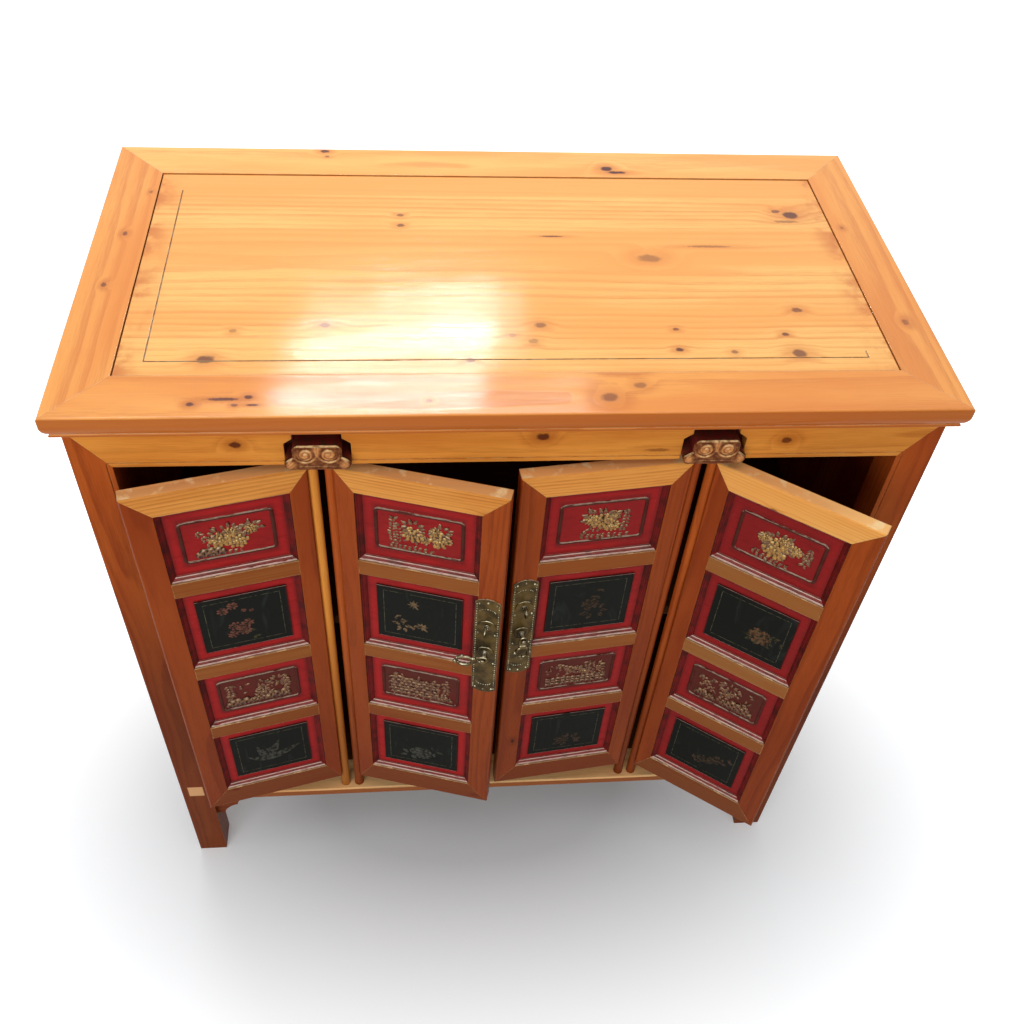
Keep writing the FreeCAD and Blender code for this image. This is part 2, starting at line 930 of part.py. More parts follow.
# Lock plates and pulls, in the same closed door frame

def lock_plate():
    """Long plate with an arched head and foot."""
    left = plate_mid - plate_w / 2
    right = plate_mid + plate_w / 2
    low = plate_low + plate_arch
    high = plate_low + plate_h - plate_arch
    y = plate_face
    edges = [line(Vector(left, y, low), Vector(left, y, high)),
             arc(Vector(left, y, high), Vector(plate_mid, y, high + plate_arch),
                 Vector(right, y, high)),
             line(Vector(right, y, high), Vector(right, y, low)),
             arc(Vector(right, y, low), Vector(plate_mid, y, low - plate_arch),
                 Vector(left, y, low))]
    return solid_from(edges, Vector(0, plate_t, 0))


def collar(z):
    profile = [(0, collar_r), (collar_t - collar_bevel, collar_r),
               (collar_t, collar_r - collar_bevel)]
    return faceted(profile, Vector(plate_mid, plate_face, z), collar_sides)


def padlock_eye():
    """Flat ring standing on edge, so a padlock's bar passes through it sideways."""
    mid_y = plate_face - collar_t - eye_reach
    start = Vector(plate_mid - eye_w / 2, mid_y, eye_z)
    sideways = Vector(1, 0, 0)
    ring = Part.makeCylinder(eye_out_r, eye_w, start, sideways)
    wire_w = eye_out_r - eye_in_r
    stem = box((plate_mid - eye_w / 2, plate_mid + eye_w / 2), (mid_y, plate_face),
               (eye_z - wire_w, eye_z + wire_w))
    hole = Part.makeCylinder(eye_in_r, eye_w + 2 * over, start - sideways * over, sideways)
    return ring.fuse(stem).cut(hole)


def stud():
    """Forged stud with a round pin, and a knob that keeps the pull on."""
    root = Vector(plate_mid, plate_face, pull_z)
    pin_end = collar_t + shoulder_l + pull_t + 2 * run_gap
    shank = faceted([(0, shoulder_r), (collar_t + shoulder_l, shoulder_r)], root, forged_sides)
    pin = Part.makeCylinder(stud_r, pin_end, root, Vector(0, -1, 0))
    knob = faceted([(pin_end, knob_r), (pin_end + knob_t - knob_bevel, knob_r),
                    (pin_end + knob_t, knob_r - knob_bevel)], root, forged_sides)
    return shank.multiFuse([pin, knob])


def staples():
    """Padlock eye above and pull stud below, each on its round collar."""
    upper = collar(eye_z).fuse(padlock_eye()).removeSplitter()
    lower = collar(pull_z).fuse(stud()).removeSplitter()
    return Part.makeCompound([upper, lower])


def stadium(half, low, high, depth):
    """Upright round-ended shape between two end centres, forward from the pull's back."""
    y = pull_back
    mid = plate_mid
    edges = [line(Vector(mid - half, y, low), Vector(mid - half, y, high)),
             arc(Vector(mid - half, y, high), Vector(mid, y, high + half),
                 Vector(mid + half, y, high)),
             line(Vector(mid + half, y, high), Vector(mid + half, y, low)),
             arc(Vector(mid + half, y, low), Vector(mid, y, low - half),
                 Vector(mid - half, y, low))]
    return solid_from(edges, Vector(0, -depth, 0))


def lobe(x, z, radius):
    return faceted([(0, radius), (pull_t, radius)], Vector(plate_mid + x, pull_back, z),
                   forged_sides)


def pull():
    """Drop pull: an eye on the stud, a banded collar and an open lobed loop."""
    mid_z = pull_z - loop_mid_drop
    loop = stadium(loop_half, mid_z - loop_straight / 2, mid_z + loop_straight / 2, pull_t)
    tip_z = mid_z - loop_straight / 2 - loop_half
    loop = loop.multiFuse([lobe(-loop_half, mid_z, lobe_r), lobe(loop_half, mid_z, lobe_r),
                           lobe(0, tip_z, tip_r)])
    eye = stadium(pull_eye_half, pull_z - pull_eye_drop, pull_z, pull_t)
    band_top = pull_z - band_drop
    band = box((plate_mid - band_w / 2, plate_mid + band_w / 2),
               (pull_back - band_t, pull_back), (band_top - band_h, band_top))
    shape = loop.multiFuse([eye, band]).removeSplitter()
    hole = stadium(loop_hole_half, mid_z - loop_hole_straight / 2,
                   mid_z + loop_hole_straight / 2, band_t)
    slot = stadium(stud_r + pull_gap, pull_z - pull_eye_drop, pull_z, pull_t)
    return shape.cut(hole).cut(slot)


def hang(shape, degrees):
    """Turn a pull about its stud, towards the hinge side of its door."""
    shape = shape.copy()
    shape.rotate(Vector(plate_mid, 0, pull_z), Vector(0, 1, 0), degrees)
    return shape


def hung(shape, number):
    """Set a piece of a door on its pivot, at the angle where the door stands."""
    side = pivot_sides[number]
    placed = mirror_x(shape) if side < 0 else shape.copy()
    placed.rotate(Vector(0, 0, 0), Vector(0, 0, 1), -side * ajar_degrees[number])
    placed.translate(Vector(pivot_xs[number], pivot_y, 0))
    return placed


def moved(shape, x):
    shape = shape.copy()
    shape.translate(Vector(x, 0, 0))
    return shape


def carcase():
    front = frame_front()
    right = frame_right()
    front_post = post_left(True)
    back_post = post_left(False)
    top_left = top_rail_left()
    low_left = low_rail_left()
    wall = side_wall()
    bracket = bracket_left()
    block = pivot_block()
    return {
        "top_frame_front": front, "top_frame_back": mirror_y(front),
        "top_frame_right": right, "top_frame_left": mirror_x(right),
        "top_panel": top_panel(), "top_battens": top_battens(),
        "post_front_left": front_post, "post_front_right": mirror_x(front_post),
        "post_back_left": back_post, "post_back_right": mirror_x(back_post),
        "top_rail_front": top_rail_front(), "top_rail_back": rail_back(rail_low, top_low),
        "top_rail_left": top_left, "top_rail_right": mirror_x(top_left),
        "bottom_rail_front": ledge(),
        "bottom_rail_back": rail_back(clear_h, low_rail_top).cut(floor_zone(seat_gap)),
        "bottom_rail_left": low_left, "bottom_rail_right": mirror_x(low_left),
        "side_wall_left": wall, "side_wall_right": mirror_x(wall),
        "back_wall": back_wall(), "floor_board": floor_board(),
        "shelf": shelf(), "shelf_bearers": shelf_bearers(), "door_stop": door_stop(),
        "bracket_left": bracket, "bracket_right": mirror_x(bracket),
        "pivot_block_left": moved(block, -pair_x), "pivot_block_right": moved(block, pair_x),
    }


def doors():
    pieces = {"rod": pivot_rod(), "hinge_stile": hinge_stile(), "lock_stile": lock_stile(),
              "rails": door_rails(), "fields": door_fields(), "trims": door_trims()}
    nodes = {}
    for number, letter in enumerate("abcd"):
        for name, shape in pieces.items():
            nodes["door_%s_%s" % (letter, name)] = hung(shape, number)
    plate = lock_plate()
    studs = staples()
    handle = pull()
    for number, letter, turn in ((1, "b", pull_turns[0]), (2, "c", pull_turns[1])):
        nodes["lock_plate_" + letter] = hung(plate, number)
        nodes["staples_" + letter] = hung(studs, number)
        nodes["pull_" + letter] = hung(hang(handle, turn), number)
    return nodes


def export(nodes):
    os.makedirs("parts", exist_ok=True)
    for name, shape in nodes.items():
        shape = shape.copy()
        shape.translate(Vector(0, centre_y, 0))
        shape.exportStep(os.path.join("parts", name + ".step"))


export({**carcase(), **doors()})
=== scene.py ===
# %% [markdown]
# A low Chinese wedding cabinet in pine. The joints, sizes and moving parts come from the
# packed CAD frame, and this lesson dresses them: varnished boards, red lacquer panels with
# gilt carving, black tablets, worn mouldings and aged brass. The cabinet's own lengths are
# written in millimetres and turned into Blender's metres by one factor. Only the camera, the
# lamps and the floor are placed in metres.

import json
import math
import random

import bmesh
import bpy
from mathutils import Euler, Matrix, Vector, noise


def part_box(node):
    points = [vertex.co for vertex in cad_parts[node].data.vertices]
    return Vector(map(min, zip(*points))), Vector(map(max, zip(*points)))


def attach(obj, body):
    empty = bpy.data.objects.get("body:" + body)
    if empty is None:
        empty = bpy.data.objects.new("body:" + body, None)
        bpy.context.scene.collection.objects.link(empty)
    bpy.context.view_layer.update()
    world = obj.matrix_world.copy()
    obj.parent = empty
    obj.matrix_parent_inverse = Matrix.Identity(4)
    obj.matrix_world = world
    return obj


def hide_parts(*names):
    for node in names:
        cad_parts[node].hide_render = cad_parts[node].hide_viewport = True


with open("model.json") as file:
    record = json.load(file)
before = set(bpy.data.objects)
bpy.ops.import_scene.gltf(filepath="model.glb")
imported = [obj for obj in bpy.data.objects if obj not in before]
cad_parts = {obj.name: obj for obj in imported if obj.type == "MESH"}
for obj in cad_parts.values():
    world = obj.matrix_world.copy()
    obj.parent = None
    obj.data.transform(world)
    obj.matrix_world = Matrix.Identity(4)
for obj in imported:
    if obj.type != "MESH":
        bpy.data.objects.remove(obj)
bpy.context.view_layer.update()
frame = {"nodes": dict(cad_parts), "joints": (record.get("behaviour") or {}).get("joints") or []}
mm = 0.001

# %% [markdown]
# The camera stands in front of the cabinet's left half and looks steeply down at its top,
# as the photograph does. A camera's place and turn could be found by eye, but here they were
# fitted to the corners of the top and doors, so every edge falls where the photograph has it.

# %% Set up the camera
camera_place = Vector((-0.1182, -1.0180, 1.6937))
camera_turn_degrees = (42.634, -3.265, -4.490)
camera_lens = 38.264


def add_object(name, data):
    """Puts a new object into the scene."""
    made = bpy.data.objects.new(name, data)
    bpy.context.scene.collection.objects.link(made)
    return made


def make_camera():
    """A camera at the photograph's standpoint, with a square picture in mind."""
    camera = add_object("camera", bpy.data.cameras.new("camera"))
    camera.data.lens = camera_lens
    camera.location = camera_place
    camera.rotation_euler = Euler([math.radians(angle) for angle in camera_turn_degrees])
    bpy.context.scene.camera = camera


make_camera()
print("camera lens", camera_lens, "at", tuple(camera_place))

# %% [markdown]
# Every finish is a tree of shader nodes. Adding and linking nodes one by one takes many
# lines, so one function does it: each call adds one node, feeds its inputs with numbers or
# with other nodes' outputs, and returns an output to pass on. A small class gives the nodes
# that finishes need most their own short names.

# %% A helper for finishes
def ink(red, green, blue):
    """A colour given in the 0 to 255 steps of a picture, turned into linear light."""
    def linear(step):
        share = step / 255
        return share / 12.92 if share <= 0.04045 else ((share + 0.055) / 1.055) ** 2.4
    return (linear(red), linear(green), linear(blue), 1)


def feed(tree, socket, value):
    """Links another node's output to a socket, or sets the socket's own value."""
    if isinstance(value, bpy.types.NodeSocket):
        tree.links.new(value, socket)
    else:
        socket.default_value = value


def tree_node(tree, kind, inputs, output=0, **settings):
    """Adds a node to a tree, feeds its inputs and returns one of its outputs."""
    node = tree.nodes.new(kind)
    for key, value in settings.items():
        setattr(node, key, value)
    for key, value in inputs.items():
        feed(tree, node.inputs[key], value)
    return node.outputs[output]


bevel_samples = 4


class Finish:
    """A material being built."""

    def __init__(self, name):
        self.material = bpy.data.materials.new(name)
        self.material.use_nodes = True
        self.tree = self.material.node_tree
        self.tree.nodes.clear()
        self.surface = self.tree.nodes.new("ShaderNodeBsdfPrincipled")
        end = self.tree.nodes.new("ShaderNodeOutputMaterial")
        self.tree.links.new(self.surface.outputs[0], end.inputs[0])

    def add(self, kind, inputs, output=0, **settings):
        return tree_node(self.tree, "ShaderNode" + kind, inputs, output, **settings)

    def calc(self, operation, first, second=0.0, clamp=False):
        return self.add("Math", {0: first, 1: second}, operation=operation, use_clamp=clamp)

    def times(self, first, second):
        return self.calc("MULTIPLY", first, second)

    def part(self, vector, axis):
        """One of a vector's three numbers."""
        return self.add("SeparateXYZ", {0: vector}, axis)

    def fade(self, value, start, end, low=0.0, high=1.0):
        """A smooth step from low to high as the value goes from start to end."""
        return self.add("MapRange", {"Value": value, "From Min": start, "From Max": end,
                                     "To Min": low, "To Max": high},
                        interpolation_type="SMOOTHSTEP")

    def blend(self, share, first, second):
        """The first colour at share 0 and the second at 1."""
        return self.add("Mix", {0: share, 6: first, 7: second}, 2, data_type="RGBA")

    def place(self, turn=(0, 0, 0), shift=(0, 0, 0), scale=(1, 1, 1)):
        """The piece's own coordinates, scaled, turned and then shifted."""
        spot = self.add("TexCoord", {}, "Object")
        return self.add("Mapping", {"Vector": spot, "Location": shift,
                                    "Rotation": turn, "Scale": scale})

    def stretch(self, vector, scale, shift=(0, 0, 0)):
        return self.add("Mapping", {"Vector": vector, "Scale": scale, "Location": shift})

    def length(self, vector):
        return self.add("VectorMath", {0: vector}, "Value", operation="LENGTH")

    def cloud(self, vector, scale, detail=3.0, roughness=0.55, twist=0.0):
        return self.add("TexNoise", {"Vector": vector, "Scale": scale, "Detail": detail,
                                     "Roughness": roughness, "Distortion": twist})

    def facing_up(self):
        """1 where the surface lies level, 0 where it stands upright, -1 underneath."""
        return self.part(self.add("NewGeometry", {}, "Normal"), "Z")

    def kept(self, name):
        """A number kept on the mesh's points."""
        return self.add("Attribute", {}, "Fac", attribute_name=name)

    def eased(self, reach):
        """A normal that rounds sharp edges, and the share by which it turns there."""
        rounded = self.add("Bevel", {"Radius": reach}, samples=bevel_samples)
        flat = self.add("NewGeometry", {}, "Normal")
        agree = self.add("VectorMath", {0: rounded, 1: flat}, "Value", operation="DOT_PRODUCT")
        return rounded, self.fade(agree, 0.985, 0.8)

    def bump(self, height, distance, under=None):
        """A normal that follows the height, on top of the normal under it."""
        inputs = {"Height": height, "Distance": distance}
        if under is not None:
            inputs["Normal"] = under
        return self.add("Bump", inputs)

    def set(self, **values):
        """Feeds the shader's sockets: base_color becomes Base Color."""
        for key, value in values.items():
            words = key.split("_")
            name = " ".join(word if word == "IOR" else word.capitalize() for word in words)
            feed(self.tree, self.surface.inputs[name], value)
        return self.material


print("black ink in linear light:", ink(0, 0, 0), "white:", ink(255, 255, 255))

# %% [markdown]
# The light is plain and soft. A window behind the cabinet lies as a glow on the varnish, so
# its pane, bar, sill, blind and haze are small weak lamps, each placed where the top mirrors
# it into the camera. A larger lamp higher up throws the soft shadow in front of the cabinet,
# one hangs overhead, and one in front reaches the doors. One big lamp would light as well,
# but would not look like a window.

# %% Hang the lamps
bpy.context.scene.view_settings.view_transform = "Standard"
lamp_target = Vector((-0.02, -0.12, 0.957))


def hang_lamp(name, place, size, power):
    """A rectangular lamp at a place, facing the top's front edge."""
    light = bpy.data.lights.new(name, "AREA")
    light.shape = "RECTANGLE"
    light.size, light.size_y = size
    light.energy = power
    lamp = add_object(name, light)
    lamp.location = place
    lamp.rotation_euler = (Vector(place) - lamp_target).to_track_quat("Z", "Y").to_euler()


hang_lamp("window_pane", (0.062, 1.71, 2.372), (0.2, 0.045), 1.1)
hang_lamp("window_bar", (-0.261, 1.71, 2.418), (0.44, 0.03), 1.5)
hang_lamp("window_sill", (-0.205, 1.71, 2.613), (0.69, 0.08), 3.4)
hang_lamp("window_blind", (-0.02, 1.71, 2.216), (0.36, 0.026), 0.5)
hang_lamp("window_haze", (-0.08, 1.71, 2.33), (0.66, 0.2), 1.5)
hang_lamp("skylight", (-0.3, 1.35, 3.0), (1.8, 0.9), 25)
hang_lamp("overhead_lamp", (-0.1, -0.1, 3.0), (2.6, 2.2), 24)
hang_lamp("front_lamp", (-1.2, -2.8, 1.7), (2.4, 1.6), 38)

# %% [markdown]
# The floor is pale and takes the cabinet's shadow. A pale floor could be made white by more
# light, but that would bleach the cabinet too. Instead it glows a little, to the camera and
# in reflections only, more the further it lies from the cabinet's foot, so that the shadow
# stays and the floor melts into the white world behind it. Where the glow is weakest, in an
# oval round the foot, it also paints a soft shadow on top of the lamps' own.

# %% Light the world and lay the floor
world_grey = 0.27
white_light = (1, 1, 1, 1)
floor_pale = (0.84, 0.87, 0.89, 1)
floor_half = 6.0
shadow_middle = Vector((-0.02, -0.11, 0))
shadow_squeeze = Vector((0.53, 1, 1))
shadow_reach, glow_reach = 0.13, 0.76


def seen_directly(tree):
    """1 for rays that come from the camera, a mirror or a glass, and 0 for others."""
    path = tree.nodes.new("ShaderNodeLightPath")
    total = path.outputs["Is Camera Ray"]
    for other in ("Is Glossy Ray", "Is Transmission Ray"):
        total = tree_node(tree, "ShaderNodeMath", {0: total, 1: path.outputs[other]},
                          use_clamp=True)
    return total


def light_world():
    """A world that lights in grey and is seen as white."""
    world = bpy.data.worlds.new("studio")
    world.use_nodes = True
    bpy.context.scene.world = world
    tree = world.node_tree
    tree.nodes.clear()
    grey, white = (tree_node(tree, "ShaderNodeBackground",
                             {"Color": white_light, "Strength": strength})
                   for strength in (world_grey, 1.0))
    pick = tree_node(tree, "ShaderNodeMixShader", {0: seen_directly(tree), 1: grey, 2: white})
    end = tree.nodes.new("ShaderNodeOutputWorld")
    tree.links.new(pick, end.inputs[0])


def lay_floor():
    """A pale floor that keeps the cabinet's shadow, adds a painted one, and melts into white."""
    corners = [(-floor_half, -floor_half, 0), (floor_half, -floor_half, 0),
               (floor_half, floor_half, 0), (-floor_half, floor_half, 0)]
    mesh = bpy.data.meshes.new("floor")
    mesh.from_pydata(corners, [], [(0, 1, 2, 3)])
    floor = add_object("floor", mesh)
    paint = Finish("pale_floor")
    away = paint.length(paint.place(shift=-shadow_middle * shadow_squeeze,
                                    scale=shadow_squeeze))
    # Less glow near the cabinet's foot paints a soft shadow there.
    glow = paint.add("MapRange", {"Value": away, "From Min": shadow_reach,
                                  "From Max": glow_reach})
    mesh.materials.append(paint.set(
        base_color=floor_pale, roughness=0.9, specular_IOR_level=0.0,
        emission_color=white_light,
        emission_strength=paint.calc("MULTIPLY", glow, seen_directly(paint.tree))))


light_world()
lay_floor()
print("floor laid,", 2 * floor_half, "m across")

# %% [markdown]
# Pine shows its yearly rings as long wavy lines, pale in spring wood and dark in the narrow
# band of summer wood. A picture of wood could be wrapped round each board, but its lines
# would break at every edge. Here each board is cut from an imagined trunk instead: the
# distance from the trunk's pith, bent a little by noise that is long along the grain,
# repeats once a ring, and every ring is dark by its own amount. Faces of one board then
# agree at their edges as real ones do. Edges are rubbed paler, as hands and cloths leave
# them, which also paints the highlights they catch, and faces that stand upright, as in the
# hollows between the boards, are painted darker as shade.

# %% Name the tones of the pine
honey = {"pale": ink(254, 193, 108), "deep": ink(208, 118, 48), "warm": ink(247, 167, 82),
         "knot": ink(88, 38, 30), "worn": ink(255, 220, 158)}
orange = {"pale": ink(244, 165, 79), "deep": ink(192, 100, 38), "warm": ink(230, 138, 58),
          "knot": ink(84, 36, 26), "worn": ink(255, 210, 140)}
amber = {"pale": ink(238, 156, 66), "deep": ink(172, 84, 26), "warm": ink(210, 120, 42),
         "knot": ink(80, 28, 16), "worn": ink(250, 194, 116)}
straw = {"pale": ink(240, 164, 80), "deep": ink(176, 96, 36), "warm": ink(210, 126, 50),
         "knot": ink(96, 48, 20), "worn": ink(250, 206, 138)}
russet = {"pale": ink(190, 92, 34), "deep": ink(116, 40, 12), "warm": ink(164, 66, 22),
          "knot": ink(52, 18, 8), "worn": ink(216, 130, 62)}
chestnut = {"pale": ink(166, 74, 26), "deep": ink(98, 34, 10), "warm": ink(144, 56, 18),
            "knot": ink(46, 16, 8), "worn": ink(204, 120, 56)}
umber = {"pale": ink(112, 72, 44), "deep": ink(76, 46, 28), "warm": ink(96, 58, 34),
         "knot": ink(48, 28, 18), "worn": ink(140, 98, 64)}
varnish = ink(255, 206, 150)
clear_coat = ink(255, 248, 255)
# Bare wood on level places, pale enough to paint the light that falls on them too.
bare_lit_wood = ink(255, 226, 170)
end_grain = ink(224, 168, 116)
# The ledge's pale tones paint the light that falls on its top, its deep tone the shade on its
# front.
lit_ledge = {"pale": ink(255, 206, 144), "deep": ink(150, 78, 34), "warm": ink(250, 184, 116),
         "knot": ink(120, 60, 30), "worn": ink(255, 226, 170)}
print("tones:", len((honey, orange, amber, straw, russet, chestnut, umber, lit_ledge)))

# %% [markdown]
# Knots are circles drawn out along the grain that also bend the rings round them. They could
# be dark spots laid over finished wood, but then the lines would run straight through them.
# On the pieces that the eye falls on first they are placed one by one, and elsewhere a cell
# pattern scatters them.

# %% Lay out knots and yearly rings
axes = {"X": Vector((1, 0, 0)), "Y": Vector((0, 1, 0)), "Z": Vector((0, 0, 1))}
slow_bend, quick_bend = (1.4, 8, 8), (5, 5, 5)


def grain_turn(grain, face, turn):
    """Angles that lay a board's grain along X and its face's normal along Z."""
    spin = Matrix.Rotation(turn, 3, "Z")
    along, out = spin @ axes[grain], spin @ axes[face]
    return Matrix((along, out.cross(along), out)).to_euler()


def knot_marks(finish, spot, knots):
    """Dark share, halo and ring bend of knots and cracks at places in the board."""
    dark, halo, bend = 0.0, 0.0, 0.0
    for x, y, radius, depth, *drawn_out in knots:
        squeeze = 1 / (drawn_out[0] if drawn_out else 1.4)
        off = finish.stretch(spot, (squeeze, 1, 0), (-squeeze * x, -y, 0))
        gap = finish.length(off)
        wobble = finish.times(finish.cloud(spot, 0.9 / radius, 2), 0.7 * radius)
        gap = finish.calc("ADD", gap, wobble)
        core = finish.fade(gap, radius * 1.3, radius * 0.85, 0, depth)
        dark = finish.calc("MAXIMUM", dark, core)
        halo = finish.calc("MAXIMUM", halo, finish.fade(gap, radius * 3.2, radius, 0, depth))
        bend = finish.calc("ADD", bend, finish.fade(gap, radius * 4, 0, 0, radius * 1.6))
    return dark, halo, bend


def scattered_knots(finish, spot, draw, spacing, radius):
    """The same for small knots scattered by a cell pattern."""
    shift = (draw.uniform(0, 9), draw.uniform(0, 9), 0)
    flat = finish.stretch(spot, (0.5 / spacing, 1 / spacing, 0), shift)
    gap = finish.add("TexVoronoi", {"Vector": flat, "Scale": 1.0}, "Distance",
                     voronoi_dimensions="2D")
    reach = radius / spacing
    return (finish.fade(gap, reach, reach * 0.5, 0, 0.85),
            finish.fade(gap, reach * 2.6, reach * 0.6, 0, 0.6),
            finish.fade(gap, reach * 4, 0, 0, radius * 1.4))


def yearly_rings(finish, spot, draw, ring, bend):
    """Share of dark summer wood, from the distance to the trunk's pith."""
    pith = Vector((0, draw.uniform(-30, 30), -draw.uniform(30, 90))) * mm
    slow = finish.stretch(spot, slow_bend, [draw.uniform(0, 50) for _ in range(3)])
    quick = finish.stretch(slow, quick_bend)
    radius = finish.length(finish.stretch(spot, (0, 1, 1), -pith))
    for vector, reach in ((slow, 30 * mm), (quick, 2.6 * mm)):
        push = finish.times(finish.cloud(vector, 1.0, 2.0), reach)
        radius = finish.calc("ADD", radius, push)
    years = finish.calc("DIVIDE", finish.calc("ADD", radius, bend), ring * mm)
    phase = finish.calc("FRACT", years)
    own = finish.add("TexWhiteNoise", {"W": finish.calc("FLOOR", years)}, 0,
                     noise_dimensions="1D")
    line = finish.times(finish.fade(phase, 0.2, 0.86), finish.fade(phase, 1.0, 0.9))
    return finish.times(line, finish.fade(own, 0, 1, 0.3, 1.0))


print("grain along X turns by", tuple(grain_turn("X", "Z", 0)))

# %% [markdown]
# A board's colour is built in thin layers. Rings and fibres come first. Then painted shade:
# wood that stands upright is darker, and so is wood lower down. Then age: end grain is pale,
# dirt lies at the ends, wood below the face is darker along scribed lines, and edges are
# rubbed to a lighter tone that also paints their highlights. One long recipe would do for a
# single board, but as layers each board can have any of them or none.

# %% Build the wood's colour in layers
broad_streak, fine_fibre = (2.4, 17, 17), (30, 700, 700)
soil_start, soil_full = 45 * mm, 8 * mm


def fresh_wood(finish, spot, draw, tone, summer, contrast, planks):
    """Rings, fibres and warm patches: the colour, how dark it is and the fibres alone."""
    shift = [draw.uniform(0, 50) for _ in range(3)]
    broad = finish.cloud(finish.stretch(spot, broad_streak, shift), 1.0, 3.0)
    fibre = finish.cloud(finish.stretch(spot, fine_fibre), 1.0, 3.0, 0.65)
    share = finish.times(summer, finish.fade(broad, 0.3, 0.7, contrast * 0.4, contrast))
    share = finish.calc("ADD", share, finish.fade(fibre, 0.3, 0.72, -0.16, 0.2), clamp=True)
    wood = finish.blend(share, tone["pale"], tone["deep"])
    wood = finish.blend(finish.fade(broad, 0.38, 0.66, 0, 0.75), wood, tone["warm"])
    if planks > 0:
        plank = finish.calc("FLOOR", finish.calc("DIVIDE", finish.part(spot, "Y"), planks))
        own = finish.add("TexWhiteNoise", {"W": plank}, 0, noise_dimensions="1D")
        wood = finish.blend(finish.fade(own, 0, 1, 0, 0.8), wood, tone["warm"])
    return wood, share, fibre


def darken(finish, wood, tone, grain, sides, shade_bands, shade, ends):
    """Paints shade on what stands upright and on what lies lower, and pales the end grain."""
    if sides > 0:
        upright = finish.fade(finish.facing_up(), 0.75, 0.2, 0, sides)
        wood = finish.blend(upright, wood, tone["deep"])
    up = finish.part(finish.place(), "Z")
    for start, end, depth in shade_bands:
        wood = finish.blend(finish.fade(up, start, end, 0, depth), wood, shade or tone["knot"])
    if ends > 0:
        off_end = finish.add("VectorMath", {0: finish.add("NewGeometry", {}, "Normal"),
                                            1: axes[grain]}, "Value", operation="DOT_PRODUCT")
        end = finish.fade(finish.calc("ABSOLUTE", off_end), 0.6, 0.9, 0, ends)
        wood = finish.blend(end, wood, end_grain)
    return wood


def soil(finish, wood, tone, spot, half, soiled, sunk):
    """Lays dirt in patches near both ends, and darkens lines cut below the face."""
    if soiled > 0:
        along = finish.calc("ABSOLUTE", finish.part(spot, "X"))
        near_end = finish.fade(along, half - soil_start, half - soil_full)
        patchy = finish.fade(finish.cloud(spot, 26, 4, 0.65), 0.4, 0.65, 0.1, soiled)
        wood = finish.blend(finish.times(near_end, patchy), wood, tone["deep"])
    if sunk is not None:
        up = finish.part(finish.place(), "Z")
        wood = finish.blend(finish.fade(up, sunk - 0.1 * mm, sunk - 0.5 * mm, 0, 0.8), wood,
                            tone["knot"])
    return wood


def rub_and_highlight(finish, wood, tone, spot, edge, chips):
    """Rubs edges lighter and bares level places in patches, both also painted highlights."""
    patchy = finish.fade(finish.cloud(spot, 55, 3, 0.6), 0.36, 0.62, 0.1, 0.75)
    wood = finish.blend(finish.times(edge, patchy), wood, tone["worn"])
    if chips > 0:
        level = finish.fade(finish.facing_up(), 0.7, 0.95)
        patchy = finish.cloud(spot, 30, 4, 0.6)
        bare = finish.fade(patchy, 0.62 - chips, 0.72 - chips, 0.3, 0.9)
        wood = finish.blend(finish.times(level, bare), wood, bare_lit_wood)
    return wood


print("layers of colour:", [layer.__name__ for layer in (fresh_wood, darken, soil, rub_and_highlight)])

# %% [markdown]
# The wood itself is one function, and every board calls it with its own grain, tone and
# knots. A separate material drawn by hand for each board could look as good, but a change to
# the rings would have to be made forty times.

# %% Cut boards from an imagined trunk
knot_size = 3.2 * mm
worn_edge = 1.5 * mm
hand_wave = (5, 16, 16)


def pine(name, node, grain, face, tone, turn=0.0, ring=7.0, contrast=0.7, knots=(),
         spacing=0.0, gloss=0.34, shine=0.06, shade_bands=(), shade=None, sides=0.0, chips=0.0,
         sunk=None, planks=0.0, ends=0.0, soiled=0.0, tint=varnish):
    """Varnished pine for one board, with its own cut of the trunk.

    Each of the shade_bands is a start, an end and a depth: painted shade darkens the board by
    the depth between the two heights. Sides paints shade on what stands upright, ends pales the
    end grain, soiled dirties both ends, chips bares level places and paints light on them,
    planks is the width of the strips it is glued from, and below the height sunk the wood is
    darker, along the scribed lines.
    """
    finish = Finish(name)
    draw = random.Random(name)
    low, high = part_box(node)
    angles = grain_turn(grain, face, turn)
    spot = finish.place(angles, -(angles.to_matrix() @ ((low + high) / 2)))
    dark, halo, bend = 0.0, 0.0, 0.0
    if knots:
        dark, halo, bend = knot_marks(finish, spot, knots)
    elif spacing:
        dark, halo, bend = scattered_knots(finish, spot, draw, spacing, knot_size)
    summer = yearly_rings(finish, spot, draw, ring, bend)
    wood, share, fibre = fresh_wood(finish, spot, draw, tone, summer, contrast, planks)
    wood = finish.blend(finish.times(halo, 0.6), wood, tone["deep"])
    wood = finish.blend(dark, wood, tone["knot"])
    wood = darken(finish, wood, tone, grain, sides, shade_bands, shade, ends)
    wood = soil(finish, wood, tone, spot, (high - low).x / 2, soiled, sunk)
    rounded, edge = finish.eased(worn_edge)
    wood = rub_and_highlight(finish, wood, tone, spot, edge, chips)
    if sides > 0:
        shine = finish.fade(finish.facing_up(), 0.5, 0.9, 0.05, shine)
    height = finish.calc("ADD", finish.times(share, -0.35), finish.times(fibre, 0.4))
    waves = finish.bump(finish.cloud(finish.stretch(spot, hand_wave), 1.0, 2.0), 0.5 * mm,
                        under=rounded)
    return finish.set(base_color=wood, roughness=finish.fade(fibre, 0.2, 0.8, gloss, gloss + 0.14),
                      specular_IOR_level=shine, specular_tint=tint,
                      normal=finish.bump(height, 0.1 * mm, under=waves))


print("scattered knots have a radius of", round(knot_size / mm, 1), "mm")

